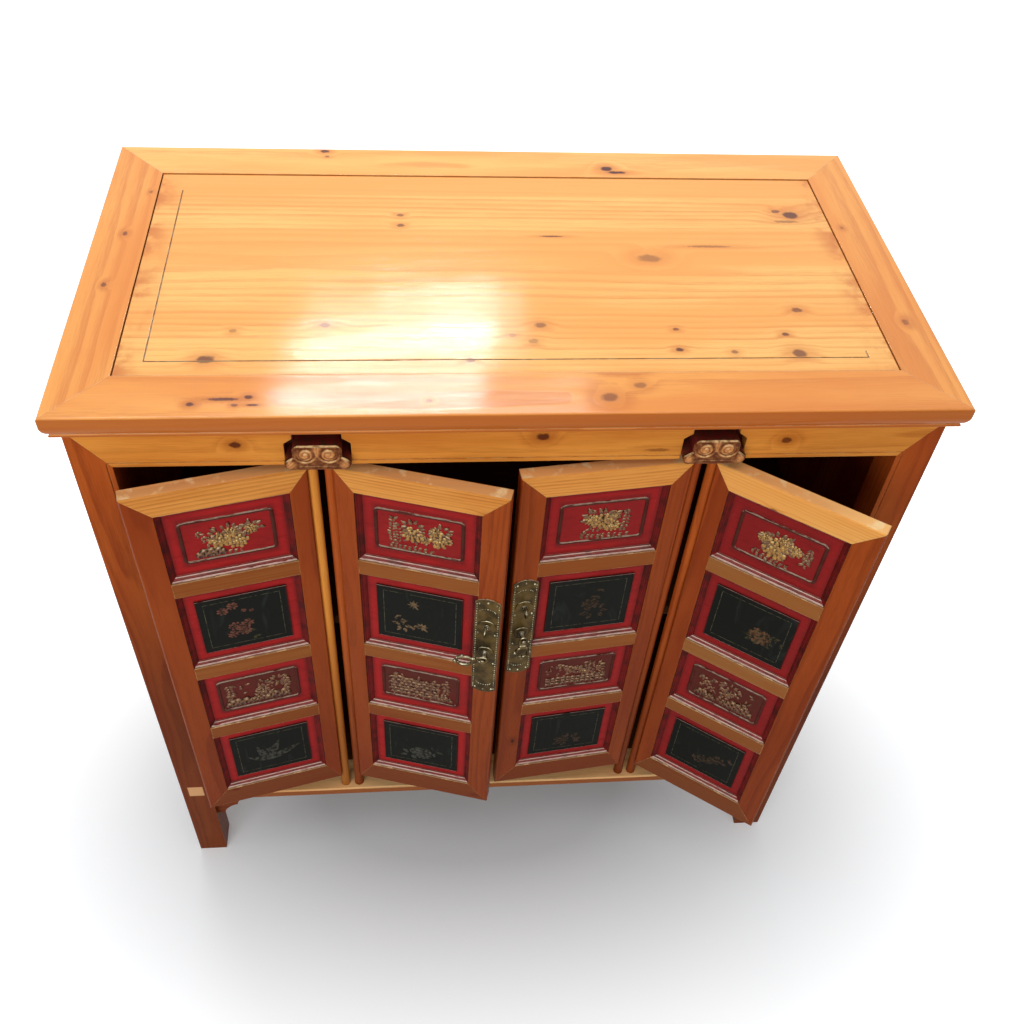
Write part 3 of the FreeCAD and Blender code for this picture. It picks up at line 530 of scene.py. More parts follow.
# %% [markdown]
# The top is one floating panel in a mitred frame. Its boards have the palest tone and are the
# glossiest, and the frame's faces that stand upright are painted darker as shade. Its knots
# were read off against the panel's edges, and each is given as a place, a radius and a
# darkness.

# %% Dress the top
def dress(node, material):
    """Gives a CAD node its finish without touching its mesh."""
    slots = frame["nodes"][node].data.materials
    slots.clear()
    slots.append(material)


top_grain = {"top_frame_front": "X", "top_frame_back": "X", "top_frame_left": "Y",
             "top_frame_right": "Y", "top_panel": "X", "top_battens": "Y"}
top_knots = {
    "top_frame_front": ((-331, -238, 4, 0.9), (-300, -231, 3, 0.9, 7), (-288, -240, 3, 0.7),
                        (-275, -228, 4, 0.9), (-270, -240, 2, 0.9, 4), (107, -189, 6, 0.9, 2.5),
                        (90, -233, 9, 0.6), (125, -215, 6, 0.5), (-95, -236, 3, 0.5)),
    "top_frame_back": ((148, 215, 8, 1.0, 1.2), (160, 206, 4, 1.0, 4), (-217, 251, 5, 0.9),
                       (-214, 238, 3, 0.6)),
    "top_frame_left": ((-440, 60, 4, 0.7), (-447, -40, 4, 0.7), (-423, 150, 3, 0.5)),
    "top_frame_right": ((447, -110, 5, 0.5), (428, 80, 3, 0.4)),
    "top_panel": ((-324, -168, 8, 0.8), (-204, -111, 6, 0.6), (-300, -120, 4, 0.4),
                  (-121, 104, 4, 0.6), (-121, 82, 4.5, 0.7), (369, 110, 10, 0.9),
                  (352, 118, 5, 0.7), (360, 95, 4, 0.5, 5), (30, -112, 6, 0.6),
                  (-2, -130, 4, 0.4), (20, -140, 5, 0.4), (173, 15, 10, 0.5, 1.8),
                  (178, -156, 4.5, 0.9), (238, -160, 4, 0.6), (310, -163, 8, 0.75),
                  (327, -86, 6, 0.7), (302, -130, 4, 0.8), (-50, -172, 5, 0.6),
                  (60, 60, 2, 0.8, 9), (180, -120, 3.5, 0.7), (250, 40, 3, 0.5, 12))}
top_box = [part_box(node) for node in ("top_frame_front", "top_frame_back")]
body_y = (top_box[0][0].y + top_box[1][1].y) / 2


def board_knots(node, grain):
    """Knots measured from the top's middle, moved into the board's own coordinates."""
    low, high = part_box(node)
    angles = grain_turn(grain, "Z", 0).to_matrix()
    moved = []
    for x, y, radius, *rest in top_knots.get(node, ()):
        point = angles @ (Vector((x * mm, y * mm + body_y, high.z)) - (low + high) / 2)
        moved.append((point.x, point.y, radius * mm, *rest))
    return moved


for node, grain in top_grain.items():
    panel = node == "top_panel"
    tone = honey if panel or node == "top_frame_back" else orange
    # Faces that stand upright are painted darker as shade.
    dress(node, pine("pine_" + node, node, grain, "Z", tone, ring=9.0, contrast=0.85,
                     knots=board_knots(node, grain), gloss=0.04, shine=0.45, sides=0.85,
                     tint=clear_coat,
                     sunk=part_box(node)[1].z if panel else None, planks=0.074 if panel else 0.0,
                     soiled=0.9 if panel else 0.0))
print("dressed", len(top_grain), "pieces of the top")

# %% [markdown]
# The frame below stands upright and is painted darker as shade, most of all near the floor.
# The front rail has an amber tone and no painted shade. The ledge under the doors is painted
# pale on top, as the light falling on it, and darker as shade where it stands upright, and the
# tenons that show in the posts are pale end grain. The boards inside were never varnished and
# are a dull dark brown, which also stands in for the shade inside, and they are painted darker
# lower down.

# %% Dress the frame below
frame_grain = {"post_front_left": ("Z", "Y"), "post_front_right": ("Z", "Y"),
               "post_back_left": ("Z", "Y"), "post_back_right": ("Z", "Y"),
               "top_rail_front": ("X", "Y"), "top_rail_back": ("X", "Y"),
               "top_rail_left": ("Y", "X"), "top_rail_right": ("Y", "X"),
               "bottom_rail_front": ("X", "Z"), "bottom_rail_back": ("X", "Y"),
               "bottom_rail_left": ("Y", "X"), "bottom_rail_right": ("Y", "X"),
               "bracket_left": ("X", "Y"), "bracket_right": ("X", "Y")}
inner_grain = {"side_wall_left": ("Z", "X"), "side_wall_right": ("Z", "X"),
               "back_wall": ("X", "Y"), "floor_board": ("X", "Z"), "shelf": ("X", "Z"),
               "shelf_bearers": ("Y", "X"), "door_stop": ("X", "Y")}
outer_boards = ("side_wall_left", "side_wall_right", "back_wall")
rail_knots = ((-294, 903.6, 5.5, 0.9), (24, 909.4, 6.5, 0.9), (290, 900.3, 5.5, 0.8),
              (150, 888, 3, 0.5, 6))
# Bands of painted shade, darker towards the floor: a start height, an end height and a depth.
post_shade_bands = ((0.92, 0.35, 0.63),)
wall_shade_bands = ((0.92, 0.35, 0.3),)


def face_knots(node, knots):
    """Knots on the front of a long rail, given by their x and z on the cabinet."""
    low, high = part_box(node)
    middle = (low + high) / 2
    return [(x * mm - middle.x, middle.z - z * mm, radius * mm, *rest)
            for x, z, radius, *rest in knots]


frame_tone = {"top_rail_front": amber, "bottom_rail_front": lit_ledge}
for node, (grain, face) in frame_grain.items():
    front_rail = node == "top_rail_front"
    low_front = node == "bottom_rail_front"
    dress(node, pine("pine_" + node, node, grain, face, frame_tone.get(node, russet),
                     ring=5.0, knots=face_knots(node, rail_knots) if front_rail else (),
                     contrast=0.8, spacing=0.22, gloss=0.28, shine=0.04,
                     shade_bands=() if node in frame_tone else post_shade_bands,
                     sides=0.95 if low_front else 0.0,
                     ends=1.0 if node.startswith("bottom_rail") else 0.0))
for node, (grain, face) in inner_grain.items():
    # The inner boards' dark tones also stand in for the shade inside the cabinet.
    tone = russet if node in outer_boards else umber
    dress(node, pine("pine_" + node, node, grain, face, tone, ring=7.0, spacing=0.25, gloss=0.5,
                     shade_bands=wall_shade_bands))
print("dressed", len(frame_grain) + len(inner_grain), "pieces of the body")

# %% [markdown]
# Each door has its own place: measured from its pivot, x runs to its free edge, y to the
# back and z up. Left-hand doors are mirror images of right-hand ones. The joint in the frame
# gives the pivot and how far the door stands open, so a panel drawn once fits all four.

# %% Find where each door stands
def joint_named(name):
    """The frame's note of one joint."""
    return next(joint for joint in frame["joints"] if joint["name"] == name)


class Door:
    """One door's place in the frame."""

    def __init__(self, letter):
        joint = joint_named(f"door_{letter}_pivot")
        upward = joint["axis"][2]
        self.letter = letter
        self.body = "door_" + letter
        self.mirrored = upward > 0
        self.turn = -math.radians(joint["range_deg"][0]) * upward
        pivot = Vector((joint["pos_m"][0], joint["pos_m"][1], 0))
        mirror = Matrix.Diagonal((-upward, 1, 1, 1))
        self.place = Matrix.Translation(pivot) @ Matrix.Rotation(self.turn, 4, "Z") @ mirror

    def settle(self, name, meshes, slot, replaces=(), body=None):
        """Joins meshes drawn in millimetres on the door into one piece that rides on it."""
        joined = bmesh.new()
        materials = []
        for mesh in meshes:
            if mesh.materials[0] not in materials:
                materials.append(mesh.materials[0])
            first = len(joined.faces)
            joined.from_mesh(mesh)
            joined.faces.ensure_lookup_table()
            for face in joined.faces[first:]:
                face.material_index = materials.index(mesh.materials[0])
        joined.transform(self.place @ Matrix.Scale(mm, 4))
        if self.mirrored:
            bmesh.ops.reverse_faces(joined, faces=joined.faces)
        whole = bpy.data.meshes.new(name)
        joined.to_mesh(whole)
        joined.free()
        for material in materials:
            whole.materials.append(material)
        piece = add_object(name, whole)
        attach(piece, body or self.body)
        if replaces:
            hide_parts(*replaces)


doors = [Door(letter) for letter in "abcd"]
print("doors stand open by", [round(abs(math.degrees(door.turn)), 1) for door in doors])

# %% [markdown]
# A door's stiles and rails are the same pine as the frame. The rails run across and are
# painted yellower, as the light they catch, most of all the top rail, whose upper edge is worn
# down to bare wood where hands pull the doors open and is also painted pale as the light on
# it. The lower rails and the lower parts of the stiles and rods are painted browner as shade.

# %% Dress the doors' wood
door_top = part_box("door_a_hinge_stile")[1].z
# Bands of painted shade on the doors: a start height, an end height and a depth.
rail_shade_bands = ((door_top - 0.034, door_top - 0.08, 0.75), (door_top - 0.3, door_top - 0.63, 0.6))
stile_shade_bands = ((door_top, door_top - 0.5, 0.22),)
rod_shade_bands = ((door_top - 0.15, door_top - 0.6, 0.5),)
rail_shade = ink(104, 28, 6)
rod_tone = {"a": amber, "b": russet, "c": chestnut, "d": russet}
# The fourth door's rails take the palest tone, which paints the stronger light on that door.
rail_tone = {"a": straw, "b": straw, "c": orange, "d": honey}

for door in doors:
    for part, grain, tone, shade_bands in (("hinge_stile", "Z", chestnut, stile_shade_bands),
                                    ("lock_stile", "Z", chestnut, stile_shade_bands),
                                    ("rails", "X", rail_tone[door.letter], rail_shade_bands),
                                    ("rod", "Z", rod_tone[door.letter], rod_shade_bands)):
        node = f"{door.body}_{part}"
        dress(node, pine("pine_" + node, node, grain, "Y", tone, door.turn, ring=4.5,
                         contrast=0.75, spacing=0.14, gloss=0.24, shine=0.06, shade_bands=shade_bands,
                         shade=rail_shade if part == "rails" else None,
                         chips=0.0 if part == "rod" else 0.1))
print("dressed the doors' frames")

# %% [markdown]
# Red lacquer is brushed on in layers over the panel boards. Hands and cloths have rubbed it
# bright in the open border round each carving, and towards the mouldings, raised frames and
# tablets it is left dark as painted shade in the recess. Black lacquer on the tablets is
# smoother and shows cloudy grey wiping marks. Where a finish follows the shape of its piece,
# the mesh keeps a number on its points and the material reads it.

# %% Mix the lacquers
def red_lacquer():
    """Brushed red, rubbed bright, painted dark as shade at the border's edges, brown where stained.
    """
    finish = Finish("red_lacquer")
    spot = finish.place()
    broad = finish.cloud(spot, 16, 3)
    fine = finish.cloud(finish.stretch(spot, (40, 40, 220)), 1.0, 3)
    # Where the kept number is low, at the border's edges, the darker red is painted shade.
    rubbed = finish.times(finish.kept("rubbed"), finish.fade(broad, 0.3, 0.6, 0.55, 1))
    red = finish.blend(rubbed, ink(120, 25, 24), ink(176, 31, 31))
    red = finish.blend(finish.fade(fine, 0.5, 0.8, 0, 0.4), red, ink(88, 24, 20))
    stain = finish.times(finish.fade(finish.kept("rubbed"), -0.1, -0.5),
                         finish.fade(broad, 0.3, 0.6, 0.6, 0.95))
    red = finish.blend(stain, red, ink(84, 34, 24))
    dust = finish.fade(finish.cloud(spot, 300, 2), 0.62, 0.8, 0, 0.3)
    red = finish.blend(dust, red, ink(150, 80, 64))
    return finish.set(base_color=red, roughness=finish.fade(fine, 0.2, 0.8, 0.34, 0.5),
                      specular_IOR_level=0.06, normal=finish.bump(fine, 0.1 * mm))


def black_lacquer():
    """Smooth black with cloudy wiping marks."""
    finish = Finish("black_lacquer")
    spot = finish.place()
    wipe = finish.cloud(finish.stretch(spot, (30, 30, 9)), 1.0, 3, twist=2.5)
    fine = finish.cloud(spot, 420, 2)
    black = finish.blend(finish.fade(wipe, 0.56, 0.74, 0, 0.4), ink(11, 12, 6), ink(48, 52, 48))
    return finish.set(base_color=black, roughness=finish.fade(wipe, 0.3, 0.7, 0.3, 0.46),
                      specular_IOR_level=0.05, normal=finish.bump(fine, 0.05 * mm))


def worn_and_lit_upwards(name, body, silver, dull, cover=0.3, grime=ink(38, 14, 12)):
    """Painted moulding: grooves dark with dirt and painted shade, ridges facing up worn silver and
    painted lit.
    """
    finish = Finish(name)
    spot = finish.place()
    streak = finish.cloud(finish.stretch(spot, (60, 60, 900)), 1.0, 3, 0.6)
    crest = finish.fade(finish.kept("grime"), 0.62, 0.1)
    # Ridges that face up are rubbed to silver, which is also a painted highlight.
    rub = finish.times(finish.fade(finish.facing_up(), 0.2, 0.5),
                       finish.fade(streak, cover, cover + 0.14))
    paint = finish.blend(finish.fade(finish.cloud(spot, 60, 3), 0.4, 0.7), body, ink(88, 24, 20))
    # Faces that don't face up are painted darker as shade.
    paint = finish.blend(finish.fade(finish.facing_up(), 0.25, 0, 0, 0.3), paint, grime)
    metal = finish.blend(finish.fade(streak, 0.48, 0.72), silver, dull)
    worn = finish.blend(finish.times(rub, crest), paint, metal)
    # Grooves and the outer edge take the dark colour, as dirt and painted shade.
    colour = finish.blend(finish.fade(finish.kept("grime"), 0.6, 1.0), worn, grime)
    return finish.set(base_color=colour, roughness=finish.fade(streak, 0.2, 0.8, 0.36, 0.56),
                      specular_IOR_level=0.05, normal=finish.bump(streak, 0.08 * mm))


def gilt(name, bright, low, painted_highlight):
    """Gold leaf over a dark ground: bright on the crowns, with a painted highlight on slopes that
    face up.
    """
    finish = Finish(name)
    spot = finish.place()
    rub = finish.cloud(spot, 260, 4, 0.6)
    share = finish.calc("ADD", finish.fade(finish.kept("rise"), 0.1, 0.9, -0.1, 0.85),
                        finish.fade(rub, 0.3, 0.7, -0.35, 0.3), clamp=True)
    gold = finish.blend(share, low, bright)
    # A painted highlight on slopes that face up.
    lit = finish.times(finish.fade(finish.facing_up(), 0.3, 0.75),
                       finish.fade(rub, 0.4, 0.6, 0.1, 0.9))
    return finish.set(base_color=finish.blend(lit, gold, painted_highlight), metallic=0.35,
                      roughness=finish.fade(rub, 0.3, 0.7, 0.3, 0.5),
                      specular_IOR_level=0.3, normal=finish.bump(rub, 0.2 * mm))


lacquer_red = red_lacquer()
lacquer_black = black_lacquer()
trim_finish = worn_and_lit_upwards("trim_paint", ink(134, 28, 24), ink(224, 190, 176), ink(150, 104, 94))
ring_finish = worn_and_lit_upwards("ring_paint", ink(92, 44, 34), ink(190, 172, 152), ink(120, 86, 66), 0.4)
rim_finish = worn_and_lit_upwards("tablet_rim", ink(34, 28, 20), ink(176, 158, 146), ink(124, 106, 98))
flower_gilt = gilt("flower_gilt", ink(172, 126, 60), ink(66, 32, 20), ink(236, 214, 150))
leaf_gilt = gilt("leaf_gilt", ink(126, 88, 54), ink(62, 26, 22), ink(210, 190, 150))
faint_gilt = gilt("faint_gilt", ink(124, 80, 48), ink(58, 26, 22), ink(184, 156, 120))
print("mixed", len(bpy.data.materials), "finishes so far")

# %% [markdown]
# A moulding is one section carried round a path. Blender can sweep a section along a curve,
# which suits a path with rounded corners. At a sharp corner a sweep turns its section
# half-way and pinches it, so the planted mouldings round each recess are worked out as
# mitres instead, the way a joiner cuts them: each line of the section is a smaller
# rectangle. The section has two thin reeds with a painted hollow between them. The grooves
# beside them hold dirt and painted shade, and its outer edge is painted dark as shade.

# %% Draw the mitred mouldings
stile_edge = 27.0
field_end = 170.25
top_rail, cross_rail, low_rail = 32.0, 24.0, 40.0
field_shares = (0.2235, 0.2765, 0.2235, 0.2765)
field_front, field_back = -2.0, 3.0
trim_wide = 8.0
# The last mark paints grooves and the outer edge dark, as dirt and painted shade.
ridge_mark, flat_mark, dirty_and_shaded = 0.0, 0.5, 1.0
trim_section = ((0.0, -1.8, dirty_and_shaded), (0.0, -7.0, dirty_and_shaded), (0.5, -7.1, dirty_and_shaded),
                (0.8, -7.1, ridge_mark), (1.6, -6.7, ridge_mark), (2.4, -5.9, ridge_mark),
                (2.7, -5.4, dirty_and_shaded), (3.0, -5.3, flat_mark), (4.9, -4.3, flat_mark),
                (5.1, -4.0, dirty_and_shaded), (5.3, -4.3, ridge_mark), (6.3, -3.7, ridge_mark),
                (6.7, -3.0, dirty_and_shaded), (7.0, -2.8, flat_mark), (7.6, -2.3, flat_mark),
                (trim_wide, -1.8, dirty_and_shaded))


def door_fields():
    """The four panels' lowest and highest points, from the top down."""
    low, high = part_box("door_a_hinge_stile")
    bottom, top = low.z / mm, high.z / mm
    free = top - bottom - top_rail - low_rail - 3 * cross_rail
    spans = []
    z = top - top_rail
    for share in field_shares:
        spans.append((z - share * free, z))
        z -= share * free + cross_rail
    return spans


def sheet_mesh(vertices, faces, material, kept=None, notes=()):
    """A plain mesh, which may keep a number on each of its points."""
    mesh = bpy.data.meshes.new("part")
    mesh.from_pydata(vertices, [], faces)
    mesh.materials.append(material)
    if kept is not None:
        mesh.attributes.new(kept, "FLOAT", "POINT").data.foreach_set("value", notes)
    return mesh


def four_corners(left, right, low, high, inset, y):
    """The four corners of a rectangle drawn in by an inset, at a depth."""
    return [(left + inset, y, low + inset), (right - inset, y, low + inset),
            (right - inset, y, high - inset), (left + inset, y, high - inset)]


def band_faces(row, after):
    """The four faces between two such rectangles."""
    return [(row * 4 + corner, row * 4 + (corner + 1) % 4,
             after * 4 + (corner + 1) % 4, after * 4 + corner) for corner in range(4)]


def mitred_frame(left, right, low, high, section, material):
    """A section carried round a rectangle: each point is an inset, a depth and its dirt and shade.
    """
    vertices, faces, notes = [], [], []
    for inset, y, grime in section:
        vertices += four_corners(left, right, low, high, inset, y)
        notes += [grime] * 4
    for row in range(len(section)):
        faces += band_faces(row, (row + 1) % len(section))
    return sheet_mesh(vertices, faces, material, "grime", notes)


spans = door_fields()
print("panels from the top down:", [(round(a, 1), round(b, 1)) for a, b in spans])

# %% [markdown]
# The panel boards are thin and were planed by hand, so their faces are a little wavy. A flat
# box would do for the shape, but its reflections would be dead straight. Each board is a grid
# instead, lifted by smooth noise, and its points keep how much the lacquer is rubbed there:
# most in the middle of the open border, evenly inside the top panel's raised frame, and
# less than none where the third panel's ground is stained brown. Towards the mouldings, the
# raised frame and the tablet the number falls to nothing, which leaves the red dark as
# painted shade. The last door's lacquer is the darkest.

# %% Plane the panel boards
board_tongue = 4.6
board_columns, board_rows = 46, 36
board_wave = 0.16
border_end = 20.0


def rubbing_and_shade(x, z, left, right, low, high, inside, use):
    """How much the lacquer is rubbed at a point; where it falls to 0 the dark red is painted shade.
    """
    inset = min(x - left, right - x, z - low, high - z)
    share = (inset - trim_wide) / (border_end - trim_wide)
    if share > 1.2:
        return inside * use if inside > 0 else inside
    return use * math.sin(math.pi * max(0.0, min(1.0, share))) ** 0.7


def grid_faces(columns, rows):
    """The faces of a grid whose points are listed row by row."""
    line = columns + 1
    return [(near, near + 1, near + 1 + line, near + line)
            for row in range(rows) for near in range(row * line, row * line + columns)]


def hand_planed_board(left, right, low, high, seed, inside, use):
    """A thin board with a slightly wavy face, drawn as a grid and closed behind."""
    vertices, notes = [], []
    faces = grid_faces(board_columns, board_rows)
    first, last = left - board_tongue, right + board_tongue
    foot, head = low - board_tongue, high + board_tongue
    for row in range(board_rows + 1):
        z = foot + (head - foot) * row / board_rows
        for column in range(board_columns + 1):
            x = first + (last - first) * column / board_columns
            edge = row in (0, board_rows) or column in (0, board_columns)
            lift = 0 if edge else board_wave * noise.noise(Vector((x / 22, z / 34, seed)))
            vertices.append((x, field_front - board_wave + lift, z))
            notes.append(rubbing_and_shade(x, z, left, right, low, high, inside, use))
    line = board_columns + 1
    rim = [*range(line), *range(2 * line - 1, len(vertices), line),
           *range(len(vertices) - 2, len(vertices) - line - 1, -1),
           *range(len(vertices) - 2 * line, 0, -line)]
    behind = len(vertices)
    for index in rim:
        x, _, z = vertices[index]
        vertices.append((x, field_back, z))
        notes.append(0.0)
    count = len(rim)
    for k in range(count):
        after = (k + 1) % count
        faces.append((rim[after], rim[k], behind + k, behind + after))
    faces.append([behind + k for k in reversed(range(count))])
    return sheet_mesh(vertices, faces, lacquer_red, "rubbed", notes)


rubbed_inside = (0.6, 0.6, -0.6, 0.6)
door_red_lift = {"a": 1.0, "b": 1.0, "c": 0.85, "d": 0.5}

for number, door in enumerate(doors):
    boards, trims = [], []
    for row, (low, high) in enumerate(spans):
        boards.append(hand_planed_board(stile_edge, field_end, low, high, number * 4 + row,
                                        rubbed_inside[row], door_red_lift[door.letter]))
        trims.append(mitred_frame(stile_edge, field_end, low, high, trim_section, trim_finish))
    door.settle(door.body + "_boards", boards, "red_lacquer", [door.body + "_fields"])
    door.settle(door.body + "_mouldings", trims, "worn_trim", [door.body + "_trims"])
print("each board has", len(boards[0].polygons), "faces")

# %% [markdown]
# The raised frames on the carved panels have rounded corners, so here the sweep is right. A
# node tree draws the rounded path and carries a bead along it. It is built once, with its
# sizes as named inputs, and run for each size of frame. A second tree sets copies of a small
# shape on a list of points, which carry their own turn and size. All leaves, petals, punched
# dots and pins are laid out by it.

# %% Build the two node trees
def new_tree(name, inputs):
    """An empty geometry tree with a geometry output and the named inputs."""
    tree = bpy.data.node_groups.new(name, "GeometryNodeTree")
    tree.interface.new_socket("Geometry", in_out="INPUT", socket_type="NodeSocketGeometry")
    for label, kind in inputs.items():
        tree.interface.new_socket(label, in_out="INPUT", socket_type="NodeSocket" + kind)
    tree.interface.new_socket("Geometry", in_out="OUTPUT", socket_type="NodeSocketGeometry")
    given = tree.nodes.new("NodeGroupInput")
    return tree, given.outputs


def close_tree(tree, given, shape):
    """Ends a tree with real geometry that has its finish."""
    real = tree_node(tree, "GeometryNodeRealizeInstances", {"Geometry": shape})
    painted = tree_node(tree, "GeometryNodeSetMaterial",
                        {"Geometry": real, "Material": given["Finish"]})
    end = tree.nodes.new("NodeGroupOutput")
    tree.links.new(painted, end.inputs[0])
    return tree


def bead_tree():
    """A bead carried round a rectangle with rounded corners."""
    tree, given = new_tree("bead_frame", {"Width": "Float", "Height": "Float",
                                          "Corner": "Float", "Bead width": "Float",
                                          "Bead height": "Float", "Finish": "Material"})
    path = tree_node(tree, "GeometryNodeCurvePrimitiveQuadrilateral",
                     {"Width": given["Width"], "Height": given["Height"]})
    path = tree_node(tree, "GeometryNodeFilletCurve", {"Curve": path, "Radius": given["Corner"],
                                                       "Count": 6}, mode="POLY")
    ring = tree_node(tree, "GeometryNodeCurvePrimitiveCircle", {"Resolution": 12, "Radius": 0.5})
    size = tree_node(tree, "ShaderNodeCombineXYZ", {"X": given["Bead width"],
                                                    "Y": given["Bead height"], "Z": 1.0})
    section = tree_node(tree, "GeometryNodeTransform", {"Geometry": ring, "Scale": size})
    bead = tree_node(tree, "GeometryNodeCurveToMesh", {"Curve": path, "Profile Curve": section})
    return close_tree(tree, given, bead)


def layout_tree():
    """Copies of a motif on points that carry a turn and a size."""
    tree, given = new_tree("motif_layout", {"Motif": "Object", "Tilt": "Float",
                                            "Seed": "Int", "Finish": "Material"})
    facing = tree_node(tree, "GeometryNodeInputNamedAttribute", {"Name": "facing"},
                       data_type="FLOAT_VECTOR")
    size = tree_node(tree, "GeometryNodeInputNamedAttribute", {"Name": "size"},
                     data_type="FLOAT_VECTOR")
    least = tree_node(tree, "ShaderNodeMath", {0: given["Tilt"], 1: -1.0}, operation="MULTIPLY")
    sway = tree_node(tree, "FunctionNodeRandomValue", {"Min": least, "Max": given["Tilt"],
                                                       "Seed": given["Seed"]}, "Value",
                     data_type="FLOAT_VECTOR")
    angles = tree_node(tree, "ShaderNodeVectorMath", {0: facing, 1: sway}, operation="ADD")
    turn = tree_node(tree, "FunctionNodeEulerToRotation", {"Euler": angles})
    motif = tree_node(tree, "GeometryNodeObjectInfo", {"Object": given["Motif"]}, "Geometry")
    copies = tree_node(tree, "GeometryNodeInstanceOnPoints",
                       {"Points": given["Geometry"], "Instance": motif, "Rotation": turn,
                        "Scale": size})
    return close_tree(tree, given, copies)


def run_tree(tree, mesh, inputs):
    """Runs a tree on a mesh and returns what it makes as a plain mesh."""
    carrier = add_object("carrier", mesh)
    step = carrier.modifiers.new("tree", "NODES")
    step.node_group = tree
    for item in tree.interface.items_tree:
        if item.in_out == "INPUT" and item.name in inputs:
            step[item.identifier] = inputs[item.name]
    bpy.context.view_layer.update()
    grown = carrier.evaluated_get(bpy.context.evaluated_depsgraph_get())
    made = bpy.data.meshes.new_from_object(grown)
    made.materials.clear()
    made.materials.append(inputs["Finish"])
    carrier.modifiers.clear()
    bpy.data.objects.remove(carrier)
    return made


def smooth(mesh):
    """Shades a mesh without showing its faces."""
    mesh.polygons.foreach_set("use_smooth", [True] * len(mesh.polygons))
    return mesh


beads = bead_tree()
layout = layout_tree()
print("trees:", [tree.name for tree in bpy.data.node_groups])

# %% [markdown]
# Carved sprays are made of a few shapes that a carver cuts again and again: a leaf with a
# midrib, a round petal with a raised lip, a bead for the flower's heart and a scallop for
# rocks and water. Each is a small closed mesh a few dozen faces big, drawn flat with z
# towards the viewer, and keeps how high each point lies, so that gilding can wear by height.

# %% Carve the motifs
motif_root = 0.08


def relief_motif(name, outline, crown, columns, rows):
    """A closed cushion-like shape: outline(u) is its half width, crown(u, v) its height."""
    vertices, faces, rises = [], [], []
    for i in range(columns + 1):
        u = i / columns
        half = outline(u)
        for j in range(rows + 1):
            v = 2 * j / rows - 1
            rise = max(0.0, crown(u, v))
            vertices.append((u, half * v, rise))
            rises.append(rise)
    for i in range(columns):
        for j in range(rows):
            first = i * (rows + 1) + j
            faces.append((first, first + rows + 1, first + rows + 2, first + 1))
    work = bmesh.new()
    layer = work.verts.layers.float.new("rise")
    made = [work.verts.new(vertex) for vertex in vertices]
    for face in faces:
        work.faces.new([made[k] for k in face])
    peak = max(rises)
    for vertex, rise in zip(made, rises):
        vertex[layer] = rise / peak
    rim = [edge for edge in work.edges if edge.is_boundary]
    base = bmesh.ops.extrude_edge_only(work, edges=rim)["geom"]
    for item in base:
        if isinstance(item, bmesh.types.BMVert):
            item.co.z = -motif_root
    bmesh.ops.remove_doubles(work, verts=work.verts, dist=1e-5)
    bmesh.ops.holes_fill(work, edges=[edge for edge in work.edges if edge.is_boundary])
    bmesh.ops.recalc_face_normals(work, faces=work.faces)
    mesh = bpy.data.meshes.new(name)
    work.to_mesh(mesh)
    work.free()
    return bpy.data.objects.new(name, smooth(mesh))


# Each motif has two rules: its half width along its length u, and its height at u and v,
# where v runs across it from -1 to 1.
def leaf_half(u):
    return 0.24 * math.sin(math.pi * min(1, u ** 0.8)) + 0.012


def leaf_crown(u, v):
    arch = (1 - v * v) ** 0.6 * math.sin(math.pi * u) ** 0.5
    groove = 0.55 * math.exp(-(v / 0.22) ** 2)
    return 0.2 * arch * (1 - groove)


def petal_half(u):
    return 0.42 * math.sin(math.pi * (0.12 + 0.84 * u)) ** 0.7


def petal_crown(u, v):
    lip = 0.12 + 0.2 * u ** 1.5
    return lip * (1 - v ** 4) * math.sin(math.pi * min(1, 0.15 + 0.85 * u)) ** 0.35


def bead_half(u):
    return math.sqrt(max(0.0, 0.25 - (u - 0.5) ** 2)) + 0.01


def bead_crown(u, v):
    return math.sqrt(max(0.0, 0.25 - (u - 0.5) ** 2) * (1 - v * v)) * 0.9


def scallop_half(u):
    return 0.5 * math.sin(math.pi * min(1, 0.08 + u * 0.9)) ** 0.5


def scallop_crown(u, v):
    bow = math.hypot(v, u)
    return 0.26 * math.exp(-((bow - 0.8) / 0.22) ** 2) + 0.05 * (1 - v * v)


motifs = {"leaf": relief_motif("motif_leaf", leaf_half, leaf_crown, 7, 6),
          "petal": relief_motif("motif_petal", petal_half, petal_crown, 5, 4),
          "bead": relief_motif("motif_bead", bead_half, bead_crown, 6, 4),
          "scallop": relief_motif("motif_scallop", scallop_half, scallop_crown, 6, 6)}
print("motifs:", {name: len(motif.data.polygons) for name, motif in motifs.items()})

# %% [markdown]
# A spray is a list of marks, each with a motif, a place, a turn and a size. They could be
# modelled one by one, but a carver works by habit, so a few habits are written down: a
# blossom is three rings of petals round a bead, a tuft is a ring of leaves that point outwards,
# a branch carries leaves in pairs and rocks are tiers of scallops. Places are in millimetres
# from the panel's middle, x to the right as one looks at the door. Seeds are fixed, so the
# same cabinet comes out each time.

# %% Write down the carver's habits
star_rays = 8


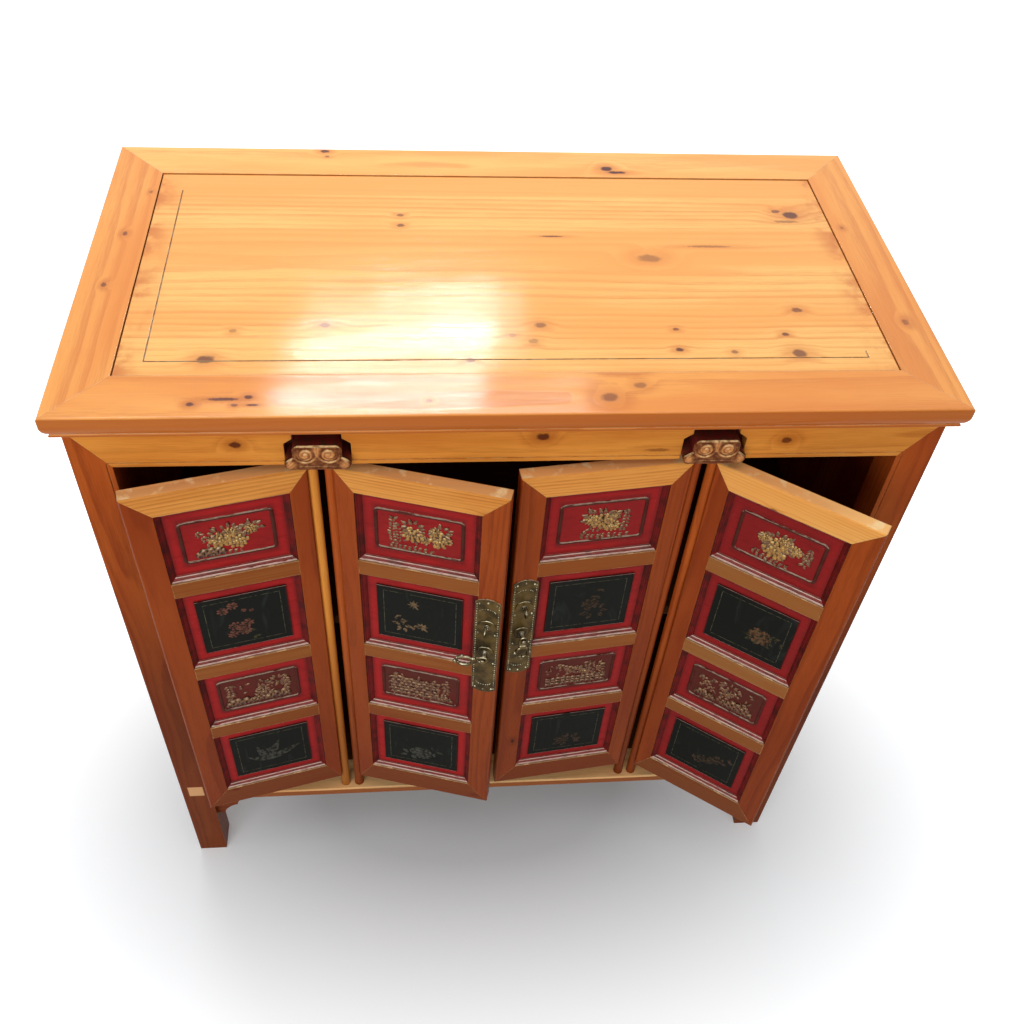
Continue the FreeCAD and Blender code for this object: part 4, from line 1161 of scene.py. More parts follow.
class Spray:
    """Marks for one panel's carving or painting, drawn about the panel's middle."""

    def __init__(self, seed, mirrored):
        self.draw = random.Random(seed)
        self.mirrored = mirrored
        self.marks = {name: [] for name in motifs}

    def mark(self, motif, x, y, turn, size, wide=1.0, lift=0.0):
        """One motif at a place, with its turn, length, width and height above the ground."""
        if self.mirrored:
            x, turn = -x, math.pi - turn
        self.marks[motif].append((x, y, lift, turn, size, wide))

    def blossom(self, x, y, radius, petals, heart=0.3):
        """Three rings of petals, each higher and smaller, round a bead."""
        start = self.draw.uniform(0, 6)
        for ring_share, count, size_share, lift in ((0.52, petals + 3, 0.52, 0.0),
                                                    (0.28, petals, 0.48, 0.7),
                                                    (0.06, petals - 2, 0.4, 1.4)):
            for k in range(count):
                turn = start + 2 * math.pi * k / count + self.draw.uniform(-0.15, 0.15)
                off = ring_share * radius
                self.mark("petal", x + off * math.cos(turn), y + off * math.sin(turn), turn,
                          radius * size_share, 1.1, lift)
        self.mark("bead", x - radius * heart / 2, y, 0, radius * heart, 1.0, 1.9)

    def star(self, x, y, radius):
        """Narrow leaves that point outwards from one place."""
        for k in range(star_rays):
            turn = 2 * math.pi * k / star_rays + self.draw.uniform(-0.2, 0.2)
            self.mark("leaf", x, y, turn, radius * self.draw.uniform(0.7, 1.1), 0.7)

    def tuft(self, x, y, wide, high, count, size):
        """Leaves round an oval, pointing outwards."""
        for k in range(count):
            turn = 2 * math.pi * (k + self.draw.uniform(-0.2, 0.2)) / count
            off = self.draw.uniform(0.35, 0.75)
            self.mark("leaf", x + off * wide * math.cos(turn), y + off * high * math.sin(turn),
                      turn + self.draw.uniform(-0.4, 0.4), size * self.draw.uniform(0.75, 1.15),
                      1.15, self.draw.uniform(0, 0.6))

    def thicket(self, left, right, low, high, count, size):
        """Small leaves strewn over a rectangle, turned in slow swirls."""
        for _ in range(count):
            x, y = self.draw.uniform(left, right), self.draw.uniform(low, high)
            swirl = math.sin(x / 7) + math.cos(y / 6) + self.draw.uniform(-0.5, 0.5)
            self.mark("leaf", x, y, swirl * 1.6, size * self.draw.uniform(0.7, 1.2), 0.9)

    def branch(self, start, bend, end, steps, size):
        """Pairs of leaves along a bent branch."""
        way = math.atan2(end[1] - start[1], end[0] - start[0])
        for k in range(steps):
            share = k / max(1, steps - 1)
            weights = ((1 - share) ** 2, 2 * share * (1 - share), share ** 2)
            x, y = (sum(w * point[axis] for w, point in zip(weights, (start, bend, end)))
                    for axis in (0, 1))
            for side in (-1, 1):
                self.mark("leaf", x, y, way + side * self.draw.uniform(0.6, 1.1),
                          size * self.draw.uniform(0.8, 1.1), 1.1)

    def rock(self, x, y, width, tiers):
        """Tiers of scallops that stand on the panel's lower edge."""
        step = width / (tiers + 1)
        for tier in range(tiers):
            count = tiers + 2 - tier
            for k in range(count):
                self.mark("scallop", x + (k - (count - 1) / 2) * step + self.draw.uniform(-1, 1),
                          y + tier * step * 0.55, math.pi / 2, step * 1.25, 1.0, 0.3 * tier)

    def bank(self, left, right, y, step):
        """A row of low scallops, as for water or a path."""
        for k in range(round((right - left) / step) + 1):
            self.mark("scallop", left + k * step, y + self.draw.uniform(-0.6, 0.6),
                      math.pi / 2, step * 0.8, 1.5, self.draw.uniform(0, 0.4))

    def meshes(self, finishes, lift_scale, thickness, tilt):
        """The spray as plain meshes, one for each motif that it uses."""
        made = []
        for seed, (motif, marks) in enumerate(self.marks.items()):
            if not marks:
                continue
            points = bpy.data.meshes.new("points")
            points.from_pydata([(x, y, lift * lift_scale) for x, y, lift, *_ in marks], [], [])
            facing = points.attributes.new("facing", "FLOAT_VECTOR", "POINT")
            size = points.attributes.new("size", "FLOAT_VECTOR", "POINT")
            for k, (_, _, _, turn, length, wide) in enumerate(marks):
                facing.data[k].vector = (0, 0, turn)
                size.data[k].vector = (length, length * wide, length * thickness)
            made.append(run_tree(layout, points, {"Motif": motifs[motif], "Tilt": tilt,
                                                  "Seed": seed, "Finish": finishes[motif]}))
        return made


def stand_up(mesh, x, y, z):
    """Stands a flat drawing up on a door's face, centred at x and z."""
    mesh.transform(Matrix.Translation((x, y, z)) @ Matrix.Rotation(math.pi / 2, 4, "X"))
    return mesh


print("a spray knows", [name for name in vars(Spray) if not name.startswith("_")])

# %% [markdown]
# The top panels carry blossoms over leaves, with rocks in a lower corner. No two are alike,
# but all share the one order: leaves first, then the large flowers over them, then the foot.

# %% Compose the flower panels
def flowers_a(spray):
    spray.thicket(-20, 22, -14, 12, 26, 8)
    spray.tuft(-2, 8, 24, 12, 14, 10)
    spray.tuft(24, 8, 14, 8, 11, 9)
    spray.branch((-33, 14), (-28, 7), (-22, -6), 5, 7)
    for x, y, radius in ((-10, -4, 13), (8, -8, 14), (2, 6, 8), (25, 6, 8)):
        spray.blossom(x, y, radius, 7)
    spray.rock(-22, -27, 24, 2)
    spray.branch((-20, -24), (-8, -25), (10, -27), 6, 6)


def flowers_b(spray):
    spray.branch((-31, -18), (-33, 0), (-30, 19), 9, 7)
    spray.branch((-24, -18), (-22, -6), (-26, 8), 6, 6)
    spray.thicket(-16, 34, -14, 10, 24, 7)
    spray.tuft(-8, 10, 12, 10, 10, 9)
    spray.tuft(24, 8, 13, 13, 12, 9)
    for x, y, radius in ((-8, -2, 13), (24, -4, 14), (18, 8, 8), (6, -8, 7)):
        spray.blossom(x, y, radius, 7)
    spray.branch((-34, -24), (-16, -26), (12, -27), 9, 7)


def flowers_c(spray):
    spray.thicket(-20, 26, -14, 10, 26, 8)
    spray.tuft(-2, 8, 26, 12, 16, 10)
    spray.branch((28, 16), (31, 2), (26, -16), 7, 7)
    for x, y, radius in ((0, 0, 14), (12, -9, 10), (-14, 4, 9), (14, 8, 8)):
        spray.blossom(x, y, radius, 8)
    spray.branch((-24, -22), (0, -26), (30, -26), 9, 7)


def flowers_d(spray):
    spray.thicket(-24, 30, -16, 12, 30, 8)
    spray.tuft(-2, 6, 27, 14, 18, 11)
    spray.branch((35, 16), (37, 4), (32, -10), 6, 8)
    for x, y, radius in ((-3, -5, 17), (6, 9, 10), (-18, 5, 9), (19, 3, 9)):
        spray.blossom(x, y, radius, 9)
    spray.branch((-28, -20), (-10, -27), (12, -27), 8, 8)


flower_panels = dict(zip("abcd", (flowers_a, flowers_b, flowers_c, flowers_d)))
print("composed", len(flower_panels), "flower panels")

# %% [markdown]
# The third panels show gardens: trees over banks and water. Their gilding is duller.

# %% Compose the garden panels
def garden_a(spray):
    spray.thicket(-40, 40, -24, 22, 46, 8)
    for x in (-38, 34):
        spray.branch((x, 20), (x + 4, 8), (x, -8), 6, 8)
    spray.tuft(26, 12, 12, 9, 10, 9)
    spray.branch((-4, -20), (2, -6), (12, 10), 6, 9)
    spray.blossom(4, -4, 10, 6)
    spray.rock(-28, -26, 26, 2)
    spray.rock(22, -25, 26, 2)
    spray.rock(-2, -25, 18, 2)


def garden_b(spray):
    spray.thicket(-40, 40, 6, 22, 26, 8)
    for row in range(6):
        spray.bank(-40 + 3 * (row % 2), 22, 8 - 6.5 * row, 7)
        spray.branch((-38, 5 - 6.5 * row), (-8, 8 - 6.5 * row), (22, 2 - 6.5 * row), 7, 6)
    spray.branch((32, 16), (37, 4), (32, -10), 6, 8)
    spray.rock(30, -26, 22, 3)


def garden_c(spray):
    spray.thicket(-40, 40, -10, 20, 44, 8)
    spray.branch((-28, 18), (-14, 14), (-4, 4), 6, 9)
    spray.tuft(18, 6, 22, 12, 15, 9)
    spray.blossom(12, 2, 10, 6)
    for row in range(3):
        spray.bank(-38, 38, -14 - 6 * row, 7)


def garden_d(spray):
    spray.thicket(-40, 40, -22, 20, 48, 8)
    spray.tuft(4, 14, 16, 9, 12, 9)
    spray.blossom(2, 4, 9, 6)
    spray.branch((-34, 14), (-26, 6), (-20, -4), 5, 8)
    spray.branch((-6, -22), (0, -10), (2, 4), 5, 8)
    spray.rock(22, -25, 34, 3)
    spray.rock(-26, -25, 22, 2)


garden_panels = dict(zip("abcd", (garden_a, garden_b, garden_c, garden_d)))
print("composed", len(garden_panels), "garden panels")

# %% [markdown]
# The pictures can now be carved. On each door the first and the third panel get a raised
# frame with rounded corners and the carving inside it. The lower carvings take a fainter leaf
# with a dimmer highlight. The raised frames are rubbed silver where they face up, which is
# also a painted highlight. Frames and carving are two pieces, since they are painted
# differently, and both ride on the door.

# %% Raise frames and gilding on the carved panels
frame_in_x, frame_in_z = 20.0, 23.5
bead_wide, bead_high = 3.2, 4.6
frame_corner = 5.0
carver_sway = 0.16
carved_rows = (0, 2)
field_middle = (stile_edge + field_end) / 2


def carver_finishes(leaf):
    """Which gilding each motif takes: petals take the flower gilt on the upper panels."""
    return {"leaf": leaf, "scallop": leaf, "petal": flower_gilt if leaf is leaf_gilt else leaf,
            "bead": flower_gilt}


for number, door in enumerate(doors):
    rings, carving = [], []
    for row, panels, leaf in zip(carved_rows, (flower_panels, garden_panels),
                                 (leaf_gilt, faint_gilt)):
        low, high = spans[row]
        middle = (low + high) / 2
        sizes = {"Width": field_end - stile_edge - 2 * frame_in_x - bead_wide,
                 "Height": high - low - 2 * frame_in_z - bead_wide, "Corner": frame_corner,
                 "Bead width": bead_high, "Bead height": bead_wide, "Finish": ring_finish}
        ring = run_tree(beads, bpy.data.meshes.new("empty"), sizes)
        rings.append(stand_up(ring, field_middle, field_front, middle))
        spray = Spray(10 * number + row, door.mirrored)
        panels[door.letter](spray)
        for mesh in spray.meshes(carver_finishes(leaf), 1.0, 1.0, carver_sway):
            carving.append(stand_up(mesh, field_middle, field_front, middle))
    door.settle(door.body + "_frames", rings, "worn_trim")
    door.settle(door.body + "_carving", carving, "red_lacquer")
print("carved panels raised on", len(doors), "doors")

# %% [markdown]
# The black tablets stand a little proud of the red boards. Their upper edge is rubbed pale,
# which also paints the highlight it catches, a thin gold line is drawn inside them, and a
# faded spray is painted in the middle. The paint is thin, so the petals are nearly flat and
# their colour is rubbed through to black.

# %% Lay the black tablets
tablet_in_x, tablet_in_z = 18.5, 20.5
tablet_face = -3.6
tablet_section = ((0.0, -1.7, dirty_and_shaded), (0.0, -3.6, flat_mark), (0.3, -4.1, ridge_mark),
                  (0.9, -4.2, ridge_mark), (1.3, -3.9, dirty_and_shaded), (1.5, -3.3, dirty_and_shaded))
tablet_ease = 0.4
line_in, line_wide, line_high = 8.0, 0.7, 0.1
paint_lift, paint_thick = 0.1, 0.05
painted_rows = (1, 3)


def tablet(left, right, low, high, material):
    """A black board with eased edges."""
    rows = ((0.0, field_front + 0.3), (0.0, tablet_face + tablet_ease),
            (tablet_ease, tablet_face))
    vertices, faces = [], []
    for row, (inset, y) in enumerate(rows):
        vertices += four_corners(left, right, low, high, inset, y)
        if row:
            faces += band_faces(row - 1, row)
    last = 4 * len(rows) - 4
    faces += [(last, last + 1, last + 2, last + 3), (3, 2, 1, 0)]
    return sheet_mesh(vertices, faces, material)


def faded_paint(name, colour, rub_low, rub_high):
    """Thin paint rubbed through to the black below."""
    finish = Finish(name)
    spot = finish.place()
    rub = finish.cloud(spot, 210, 4, 0.65)
    paint = finish.blend(finish.fade(rub, rub_low, rub_high), colour, ink(30, 26, 18))
    return finish.set(base_color=paint, roughness=finish.fade(rub, 0.3, 0.7, 0.35, 0.6),
                      specular_IOR_level=0.05, normal=finish.bump(rub, 0.05 * mm))


rose_paint = faded_paint("rose_paint", ink(118, 72, 58), 0.42, 0.64)
straw_paint = faded_paint("straw_paint", ink(124, 100, 72), 0.42, 0.62)
peony_paint = faded_paint("peony_paint", ink(104, 74, 50), 0.42, 0.64)
moss_paint = faded_paint("moss_paint", ink(70, 64, 40), 0.4, 0.62)
smoke_paint = faded_paint("smoke_paint", ink(70, 70, 62), 0.4, 0.6)
umber_paint = faded_paint("umber_paint", ink(72, 54, 40), 0.36, 0.6)
line_gold = faded_paint("line_gold", ink(92, 88, 66), 0.42, 0.62)
print("mixed the tablets' paints")

# %% [markdown]
# The painted sprays are set down with the same marks as the carved ones, only flat and few.
# Each tablet could carry a picture instead, but marks that are real shapes stay sharp up
# close, and their thin paint can be rubbed away by the same noise on every door. Each door
# has its own spray, and the lower tablets have faded to smoke.

# %% Compose the painted tablets
def painted_a(spray):
    for x, y, radius in ((-24, 24, 7), (-12, 31, 7), (0, 19, 3.5), (9, 17, 3),
                         (-13, -8, 8), (2, -6, 8), (-17, -23, 7), (-2, -20, 8), (-6, -13, 6)):
        spray.blossom(x, y, radius, 5)
    spray.branch((4, -20), (8, -26), (9, -34), 2, 8)


def painted_b(spray):
    spray.star(-8, 22, 10)
    spray.star(3, -19, 10)
    spray.tuft(-22, -22, 8, 6, 5, 11)
    spray.branch((-30, -6), (-24, -14), (-8, -20), 3, 8)


def painted_c(spray):
    spray.blossom(3, -2, 12, 6)
    spray.tuft(10, -16, 14, 10, 7, 13)
    spray.branch((14, 26), (10, 12), (4, 4), 3, 8)


def painted_d(spray):
    spray.tuft(15, -11, 16, 14, 8, 10)
    spray.blossom(15, -8, 15, 8)
    spray.branch((28, 0), (34, 4), (42, -6), 3, 8)


def painted_low_a(spray):
    for turn, length in ((0.5, 52), (1.9, 44), (2.6, 34), (1.2, 50)):
        spray.mark("leaf", -6, -24, turn, length, 0.5)
    spray.blossom(-2, 2, 6, 5)


def painted_low_b(spray):
    spray.blossom(1, -18, 15, 9, 0.5)
    spray.tuft(-16, -26, 10, 8, 5, 12)
    spray.tuft(20, -10, 8, 8, 4, 9)


def painted_low_c(spray):
    spray.blossom(-4, -20, 11, 6)
    spray.tuft(4, -22, 20, 8, 7, 13)


def painted_low_d(spray):
    spray.branch((-12, -24), (6, -14), (20, 0), 6, 12)
    spray.branch((6, -14), (20, -6), (36, 8), 4, 11)


painted_panels = {1: dict(zip("abcd", (painted_a, painted_b, painted_c, painted_d))),
                  3: dict(zip("abcd", (painted_low_a, painted_low_b, painted_low_c,
                                       painted_low_d)))}
petal_paints = {1: (rose_paint, straw_paint, umber_paint, peony_paint),
                3: (smoke_paint, smoke_paint, umber_paint, umber_paint)}
leaf_paints = {1: (moss_paint, straw_paint, umber_paint, moss_paint),
               3: (smoke_paint, smoke_paint, umber_paint, umber_paint)}

for number, door in enumerate(doors):
    tablets, rims, painting = [], [], []
    for row in painted_rows:
        low, high = spans[row]
        middle = (low + high) / 2
        left, right = stile_edge + tablet_in_x, field_end - tablet_in_x
        bottom, top = low + tablet_in_z, high - tablet_in_z
        tablets.append(tablet(left + 1, right - 1, bottom + 1, top - 1, lacquer_black))
        rims.append(mitred_frame(left, right, bottom, top, tablet_section, rim_finish))
        fine = [(line_in + aside, tablet_face + lift, flat_mark)
                for aside, lift in ((0, line_high), (0, -line_high), (line_wide, -line_high),
                                    (line_wide, line_high))]
        painting.append(mitred_frame(left, right, bottom, top, fine, line_gold))
        spray = Spray(100 + 10 * number + row, door.mirrored)
        painted_panels[row][door.letter](spray)
        petals, leaves = petal_paints[row][number], leaf_paints[row][number]
        paints = {"leaf": leaves, "petal": petals, "bead": leaves, "scallop": leaves}
        for mesh in spray.meshes(paints, paint_lift, paint_thick, 0.0):
            painting.append(stand_up(mesh, field_middle, tablet_face, middle))
    door.settle(door.body + "_tablets", tablets, "red_lacquer")
    door.settle(door.body + "_tablet_rims", rims, "worn_trim")
    door.settle(door.body + "_painting", painting, "red_lacquer")
print("laid", 2 * len(doors), "tablets")

# %% [markdown]
# A carved block at the head of each pair of rods holds their sockets. Its front has two
# scrolls side by side with a crescent under each, a small leaf between them and a leaf
# curling out at each foot. Such a relief could be sculpted by hand, but every part of it
# follows a simple rule, so its height is worked out point by point on a grid that fills the
# block's outline. The sides, the keyed back and the sockets are a copy of the packed solid.

# %% Work out the carved relief
block_columns, block_rows = 110, 60
block_high = 35.0
foot_half, belly_half, neck_half = 29.0, 34.5, 25.5
belly_up, neck_up = 9.0, 18.0
shoulder_round = 8.0
carve_deep = 4.0
pillow = 1.5
scroll_off, scroll_up, scroll_round = 12.3, 23.1, 8.6
scroll_step = 4.4
crescent_round = 11.2


def ridge(distance, width):
    """A rounded ridge, 1 high on its line."""
    return math.exp(-(distance / width) ** 2)


def block_half(z):
    """Half the width of a block's front at a height above its foot."""
    if z <= neck_up:
        curve = ((neck_half - belly_half) / (neck_up - belly_up)
                 - (belly_half - foot_half) / belly_up) / neck_up
        slope = (belly_half - foot_half) / belly_up - curve * belly_up
        return foot_half + slope * z + curve * z * z
    drop = max(0.0, z - (block_high - shoulder_round))
    return neck_half - shoulder_round + math.sqrt(max(0.0, shoulder_round ** 2 - drop ** 2))


def scroll(x, z):
    """A ridge that winds out from a raised eye, over a low dome, and a crescent below."""
    far = math.hypot(x, z)
    turn = math.atan2(z, x) / (2 * math.pi)
    dome = 1.5 * max(0.0, 1 - (far / scroll_round) ** 4)
    coil = 0.75 * math.cos(2 * math.pi * (far / scroll_step - turn)) if far < scroll_round else 0
    eye = 1.1 * ridge(far, 2.0)
    low_side = max(0.0, -z / (far + 0.01)) ** 0.7
    crescent = 1.5 * ridge(far - crescent_round, 1.0) * low_side
    return dome + coil * min(1.0, (scroll_round - far) / 2) + eye + crescent


def carved_height(x, z):
    """How far the carving stands out of the block's front plane."""
    edge = min(block_half(z) - abs(x), block_high - z, z + 0.4)
    height = pillow * (1 - ridge(max(0.0, edge), 1.5))
    side = 1 if x > 0 else -1
    height += scroll(side * x - scroll_off, z - scroll_up)
    leaf_width = 0.8 + 0.22 * max(0.0, z - 18)
    height += 1.6 * ridge(x, leaf_width) * (1 if z > 22 else ridge(z - 22, 2.5))
    height -= 0.9 * ridge(x, 0.5) * (1 if z > 24 else 0)
    from_leaf = Vector((abs(x) - 28.0, z - 9.0))
    veins = 0.35 * math.cos(1.5 * (from_leaf.x + from_leaf.y))
    height += (1.5 + veins) * math.exp(-(from_leaf.x / 5) ** 2 - (from_leaf.y / 6) ** 2)
    height -= 0.7 * ridge(z - 6.5, 0.8) * (1 if abs(x) < 21 else 0)
    return max(0.0, min(carve_deep, height))


def carved_front(middle_x, face_y, foot_z, material):
    """The relief as a grid that fills the block's outline and ends level at its rim."""
    vertices, notes = [], []
    for row in range(block_rows + 1):
        z = block_high * row / block_rows
        half = block_half(z)
        for column in range(block_columns + 1):
            x = half * (2 * column / block_columns - 1)
            rim = row in (0, block_rows) or column in (0, block_columns)
            height = 0.0 if rim else carved_height(x, z)
            vertices.append((middle_x + x * mm, face_y - height * mm, foot_z + z * mm))
            notes.append(height / carve_deep + 0.01)
    return sheet_mesh(vertices, grid_faces(block_columns, block_rows), material, "rise", notes)


print("a scroll stands out by", round(carved_height(scroll_off, scroll_up), 1), "mm")

# %% [markdown]
# The block was once gilt over a red-brown ground. The gold is rubbed to a warm brown on the
# front, with bright spots on the ridges and a painted highlight where it faces up, and the
# shoulders behind are nearly black.

# %% Carve the pivot blocks
def block_paint():
    """Worn gold with a painted highlight on the carved front, dark paint on the plain sides."""
    finish = Finish("block_paint")
    spot = finish.place()
    rub = finish.cloud(spot, 170, 4, 0.6)
    rise = finish.kept("rise")
    front = finish.fade(rise, 0.0, 0.02)
    worn = finish.calc("ADD", finish.fade(rise, 0.34, 0.8, 0.05, 0.9),
                       finish.fade(rub, 0.3, 0.7, -0.25, 0.25), clamp=True)
    gold = finish.blend(worn, ink(98, 44, 18), ink(216, 144, 84))
    # A painted highlight where the gold faces up.
    lit = finish.times(finish.fade(finish.facing_up(), 0.25, 0.65),
                       finish.fade(rub, 0.4, 0.6, 0.35, 1))
    gold = finish.blend(lit, gold, ink(244, 204, 146))
    dark = finish.blend(finish.fade(rub, 0.35, 0.7), ink(96, 28, 28), ink(62, 40, 28))
    return finish.set(base_color=finish.blend(front, dark, gold), specular_IOR_level=0.12,
                      specular_tint=varnish,
                      roughness=finish.fade(rub, 0.3, 0.7, 0.3, 0.5),
                      normal=finish.bump(rub, 0.2 * mm))


def carve_block(node, material):
    """A copy of the packed block whose plain front makes way for the carving."""
    low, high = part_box(node)
    face_y = low.y + carve_deep * mm
    work = bmesh.new()
    work.from_mesh(frame["nodes"][node].data)
    bmesh.ops.remove_doubles(work, verts=work.verts, dist=0.001 * mm)
    plain = [face for face in work.faces
             if all(vertex.co.y < face_y + 0.01 * mm for vertex in face.verts)]
    bmesh.ops.delete(work, geom=plain, context="FACES")
    work.from_mesh(carved_front((low.x + high.x) / 2, face_y, low.z, material))
    mesh = bpy.data.meshes.new(node + "_carved")
    work.to_mesh(mesh)
    work.free()
    mesh.materials.clear()
    mesh.materials.append(material)
    for face in mesh.polygons:
        face.material_index = 0
        face.use_smooth = face.area < (1.5 * mm) ** 2
    piece = add_object(node + "_carved", mesh)
    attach(piece, "carcase")
    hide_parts(node)
    return piece


block_finish = block_paint()
for node in ("pivot_block_left", "pivot_block_right"):
    piece = carve_block(node, block_finish)
print("a carved block has", len(piece.data.polygons), "faces")

# %% [markdown]
# The lock plates and their fittings are brass. Old brass goes dark and olive where it isn't
# touched, and stays yellow on edges and raised dots that hands and cloths rub, and slopes that
# face up carry a painted highlight. The dots were punched from behind, in rows along the
# plate's sides, so one small bead is laid out on points by the same tree that laid out the
# petals.

# %% Mix the brass and punch the plates
plate_middle = 183.05
plate_low, plate_high = 501.857, 692.857
plate_half = 15.5
plate_front = -10.5
eye_height, pull_height = 641.669, 589.048
dot_in, dot_step, dot_size = 2.2, 4.6, 1.7
first_dot, last_dot = plate_low + 10, plate_high - 8
pin_in, pin_size = 5.0, 3.0
side_pins = (plate_low + 9, plate_low + 66, plate_high - 66, plate_high - 9)
end_pins = (plate_low + 6, plate_high - 6)
arc_round, arc_flat, arc_dots = 9.5, 0.6, 9
arc_middles = ((plate_low + 22, 1.0), (plate_high - 24, 0.0))


def aged_brass():
    """Olive brass, bright on edges and dots, with a painted highlight on slopes that face up."""
    finish = Finish("aged_brass")
    spot = finish.place()
    broad = finish.cloud(spot, 60, 4)
    fine = finish.cloud(spot, 500, 3)
    brass = finish.blend(finish.fade(broad, 0.35, 0.65), ink(86, 66, 28), ink(50, 38, 16))
    brass = finish.blend(finish.fade(fine, 0.55, 0.8, 0, 0.4), brass, ink(120, 98, 50))
    rounded, edge = finish.eased(0.6 * mm)
    rub = finish.cloud(spot, 240, 3, 0.6)
    # A painted highlight where the brass faces up.
    lit = finish.times(finish.fade(finish.facing_up(), 0.4, 0.8),
                       finish.fade(rub, 0.4, 0.6, 0.25, 1))
    dotted = finish.times(finish.fade(finish.kept("rise"), 0.3, 0.8),
                          finish.fade(rub, 0.4, 0.6, 0.1, 0.9))
    bright = finish.calc("MAXIMUM", finish.times(edge, 0.3), finish.calc("MAXIMUM", lit, dotted))
    brass = finish.blend(bright, brass, ink(224, 218, 186))
    return finish.set(base_color=brass, metallic=0.9, specular_IOR_level=0.2,
                      roughness=finish.fade(broad, 0.3, 0.7, 0.34, 0.5),
                      normal=finish.bump(fine, 0.12 * mm, under=rounded))


def punched_dots():
    """Marks for the dots and pins of one plate, about the door's own zero."""
    dots = Spray(7, False)
    for side in (-1, 1):
        x = plate_middle + side * (plate_half - dot_in)
        z = first_dot
        while z < last_dot:
            dots.mark("bead", x - dot_size / 2, z, 0, dot_size)
            z += dot_step
        x = plate_middle + side * (plate_half - pin_in)
        for z in side_pins:
            dots.mark("bead", x - pin_size / 2, z, 0, pin_size)
    for z in end_pins:
        dots.mark("bead", plate_middle - pin_size / 2, z, 0, pin_size)
    for middle, start in arc_middles:
        for k in range(arc_dots):
            turn = math.pi * (start + (k + 0.5) / arc_dots)
            dots.mark("bead", plate_middle + arc_round * math.cos(turn) - dot_size / 2,
                      middle + arc_round * math.sin(turn) * arc_flat, 0, dot_size)
    return dots


brass = aged_brass()
for node in ("lock_plate_b", "lock_plate_c"):
    dress(node, brass)
locking_doors = [door for door in doors if door.letter in "bc"]
for door in locking_doors:
    meshes = punched_dots().meshes({"bead": brass}, 1.0, 0.7, 0.0)
    door.settle(door.body + "_dots", [stand_up(mesh, 0, plate_front, 0) for mesh in meshes],
                "aged_brass")
print("punched", len(punched_dots().marks["bead"]), "dots and pins in each plate")

# %% [markdown]
# Collars, studs and knobs are round, so each is turned from a profile, as on a lathe. The
# padlock's eye and the pull's loop are rings, and the tree that drew the raised frames
# carries their round section too.

# %% Turn the fittings
turned_sides = 28
# A loop's width, height, corner, thickness and depth, and how far it stands out.
staple_eye, staple_eye_out = (10.9, 10.9, 5.4, 2.6, 4.6), 10.0
collar_profile = ((0, 11), (0.7, 11), (1.2, 10.5), (1.3, 9.8), (0.8, 9.0), (0.7, 8.0),
                  (1.2, 7.2), (1.5, 6.4), (1.3, 5.4), (1.4, 0))
stem_profile = ((1, 3.8), (2.6, 2.6), (4.4, 2.4), (5.4, 3.2), (5.8, 0))
stud_profile = ((1, 4.2), (2.6, 3.2), (6, 2.7), (9.2, 3.4), (10, 3.2), (10.1, 2.3), (14.4, 2.3),
                (14.7, 3.0), (15.5, 3.4), (16.6, 3.1), (17.3, 2.0), (17.4, 0))
ball_profile = ((0, 0), (0.1, 0.75), (0.28, 0.96), (0.5, 1.0), (0.72, 0.96), (0.9, 0.75), (1, 0))
band_profile = ((0, 0), (0, 4.2), (0.3, 5.2), (1.1, 5.4), (1.7, 4.5), (2.4, 4.5), (3.0, 5.4),
                (3.9, 5.2), (4.2, 4.2), (4.2, 0))


def turned(profile, x, y, lift=0.0, size=(1, 1), rise=0.25):
    """A round piece standing on the drawing plane, from steps of height and radius."""
    vertices, faces, notes = [], [], []
    for height, radius in profile:
        for k in range(turned_sides):
            turn = 2 * math.pi * k / turned_sides
            vertices.append((x + size[0] * radius * math.cos(turn),
                             y + size[0] * radius * math.sin(turn), lift + size[1] * height))
            notes.append(rise * height / profile[-1][0])
    for step in range(len(profile) - 1):
        for k in range(turned_sides):
            after = (k + 1) % turned_sides
            near = step * turned_sides
            faces.append((near + k, near + after, near + turned_sides + after,
                          near + turned_sides + k))
    faces.append(tuple(reversed(range(turned_sides))))
    mesh = sheet_mesh(vertices, faces, brass, "rise", notes)
    work = bmesh.new()
    work.from_mesh(mesh)
    bmesh.ops.remove_doubles(work, verts=work.verts, dist=1e-4)
    bmesh.ops.recalc_face_normals(work, faces=work.faces)
    work.to_mesh(mesh)
    work.free()
    return smooth(mesh)


def loop(wide, high, corner, thick, deep, y=0.0, lift=0.0):
    """A ring or round-ended loop of brass, drawn flat about x = 0."""
    mesh = run_tree(beads, bpy.data.meshes.new("empty"),
                    {"Width": wide, "Height": high, "Corner": corner, "Bead width": deep,
                     "Bead height": thick, "Finish": brass})
    mesh.transform(Matrix.Translation((0, y, lift)))
    return smooth(mesh)


def staple_meshes():
    """Both collars, the padlock eye and the pull's stud, drawn flat."""
    eye = loop(*staple_eye)
    eye.transform(Matrix.Translation((0, eye_height, staple_eye_out))
                  @ Matrix.Rotation(math.pi / 2, 4, "Y"))
    parts = [turned(collar_profile, 0, eye_height), turned(collar_profile, 0, pull_height),
             turned(stem_profile, 0, eye_height), eye,
             turned(stud_profile, 0, pull_height, rise=0.4)]
    for mesh in parts:
        mesh.transform(Matrix.Translation((plate_middle, 0, 0)))
    return parts


print("a collar has", len(turned(collar_profile, 0, 0).polygons), "faces")

# %% [markdown]
# A drop pull is a small eye, a neck and a ring below, cast in one. It is drawn flat and
# hanging, then swung about its stud, since one pull hangs and the other was left pushed
# aside. Drawing it where it lies would need every point worked out at an angle.

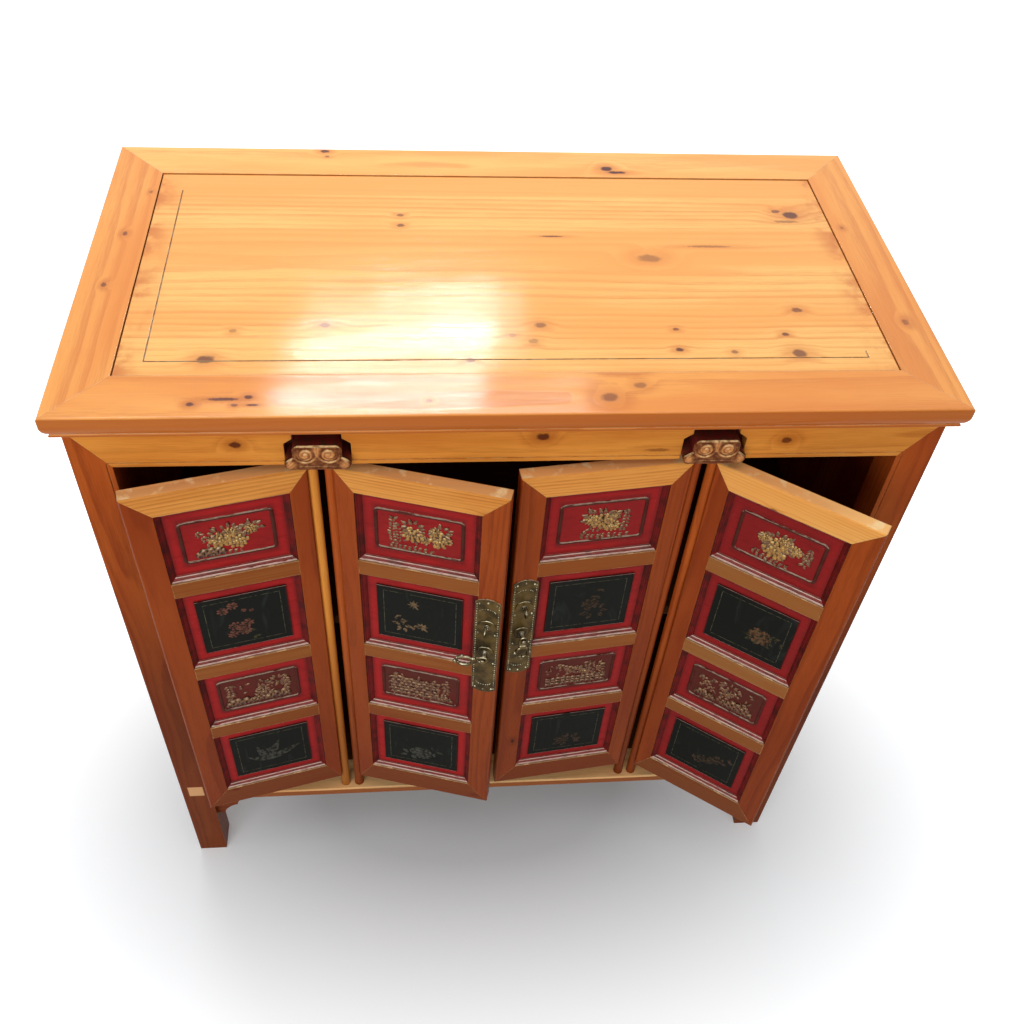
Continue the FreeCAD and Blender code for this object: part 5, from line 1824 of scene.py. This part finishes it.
# %% Forge the drop pulls
pull_back = 10.3
pull_deep = 4.0
eye_thinner = 0.4
# A loop's width, height, corner and thickness, and how far it hangs below the stud.
pull_eye, pull_eye_down = (8.2, 13.2, 4.05, 2.6), 2.5
pull_ring, pull_ring_down = (14.9, 19.9, 7.4, 4.2), 25.0
band_down, band_flat = 9.6, 0.48
ring_balls = ((-9.5, -25, 2.4), (9.5, -25, 2.4), (0, -37.5, 3.0),
              (-6.6, -32.6, 1.8), (6.6, -32.6, 1.8))
free_side = 10.0


def pull_meshes(swing):
    """A drop pull, drawn flat, hanging from its stud and then swung aside."""
    eye = loop(*pull_eye, pull_deep - eye_thinner, -pull_eye_down, pull_deep / 2)
    ring = loop(*pull_ring, pull_deep, -pull_ring_down, pull_deep / 2)
    band = turned(band_profile, 0, 0, size=(1, 1.05), rise=0.4)
    band.transform(Matrix.Translation((0, -band_down, pull_deep / 2 + 0.4))
                   @ Matrix.Diagonal((1, 1, band_flat, 1)) @ Matrix.Rotation(math.pi / 2, 4, "X"))
    balls = [turned(ball_profile, x, y, 0, (radius, pull_deep), 0.5)
             for x, y, radius in ring_balls]
    parts = [eye, ring, band, *balls]
    for mesh in parts:
        mesh.transform(Matrix.Translation((plate_middle, pull_height, pull_back))
                       @ Matrix.Rotation(-swing, 4, "Z"))
    return parts


def pull_swing(letter):
    """How far a pull is swung from hanging, towards the hinge side, when at rest."""
    return math.radians(-joint_named(f"pull_{letter}_swing")["range_deg"][0] - free_side)


for door in locking_doors:
    letter = door.letter
    staples = [stand_up(mesh, 0, plate_front, 0) for mesh in staple_meshes()]
    door.settle(f"{door.body}_staples", staples, "aged_brass", [f"staples_{letter}"])
    pull = [stand_up(mesh, 0, plate_front, 0) for mesh in pull_meshes(pull_swing(letter))]
    door.settle(f"pull_{letter}_drop", pull, "aged_brass", [f"pull_{letter}"], f"pull_{letter}")
    print("pull", letter, "is swung by", round(math.degrees(pull_swing(letter))), "degrees")

# %% [markdown]
# The looks may not grow past the construction.
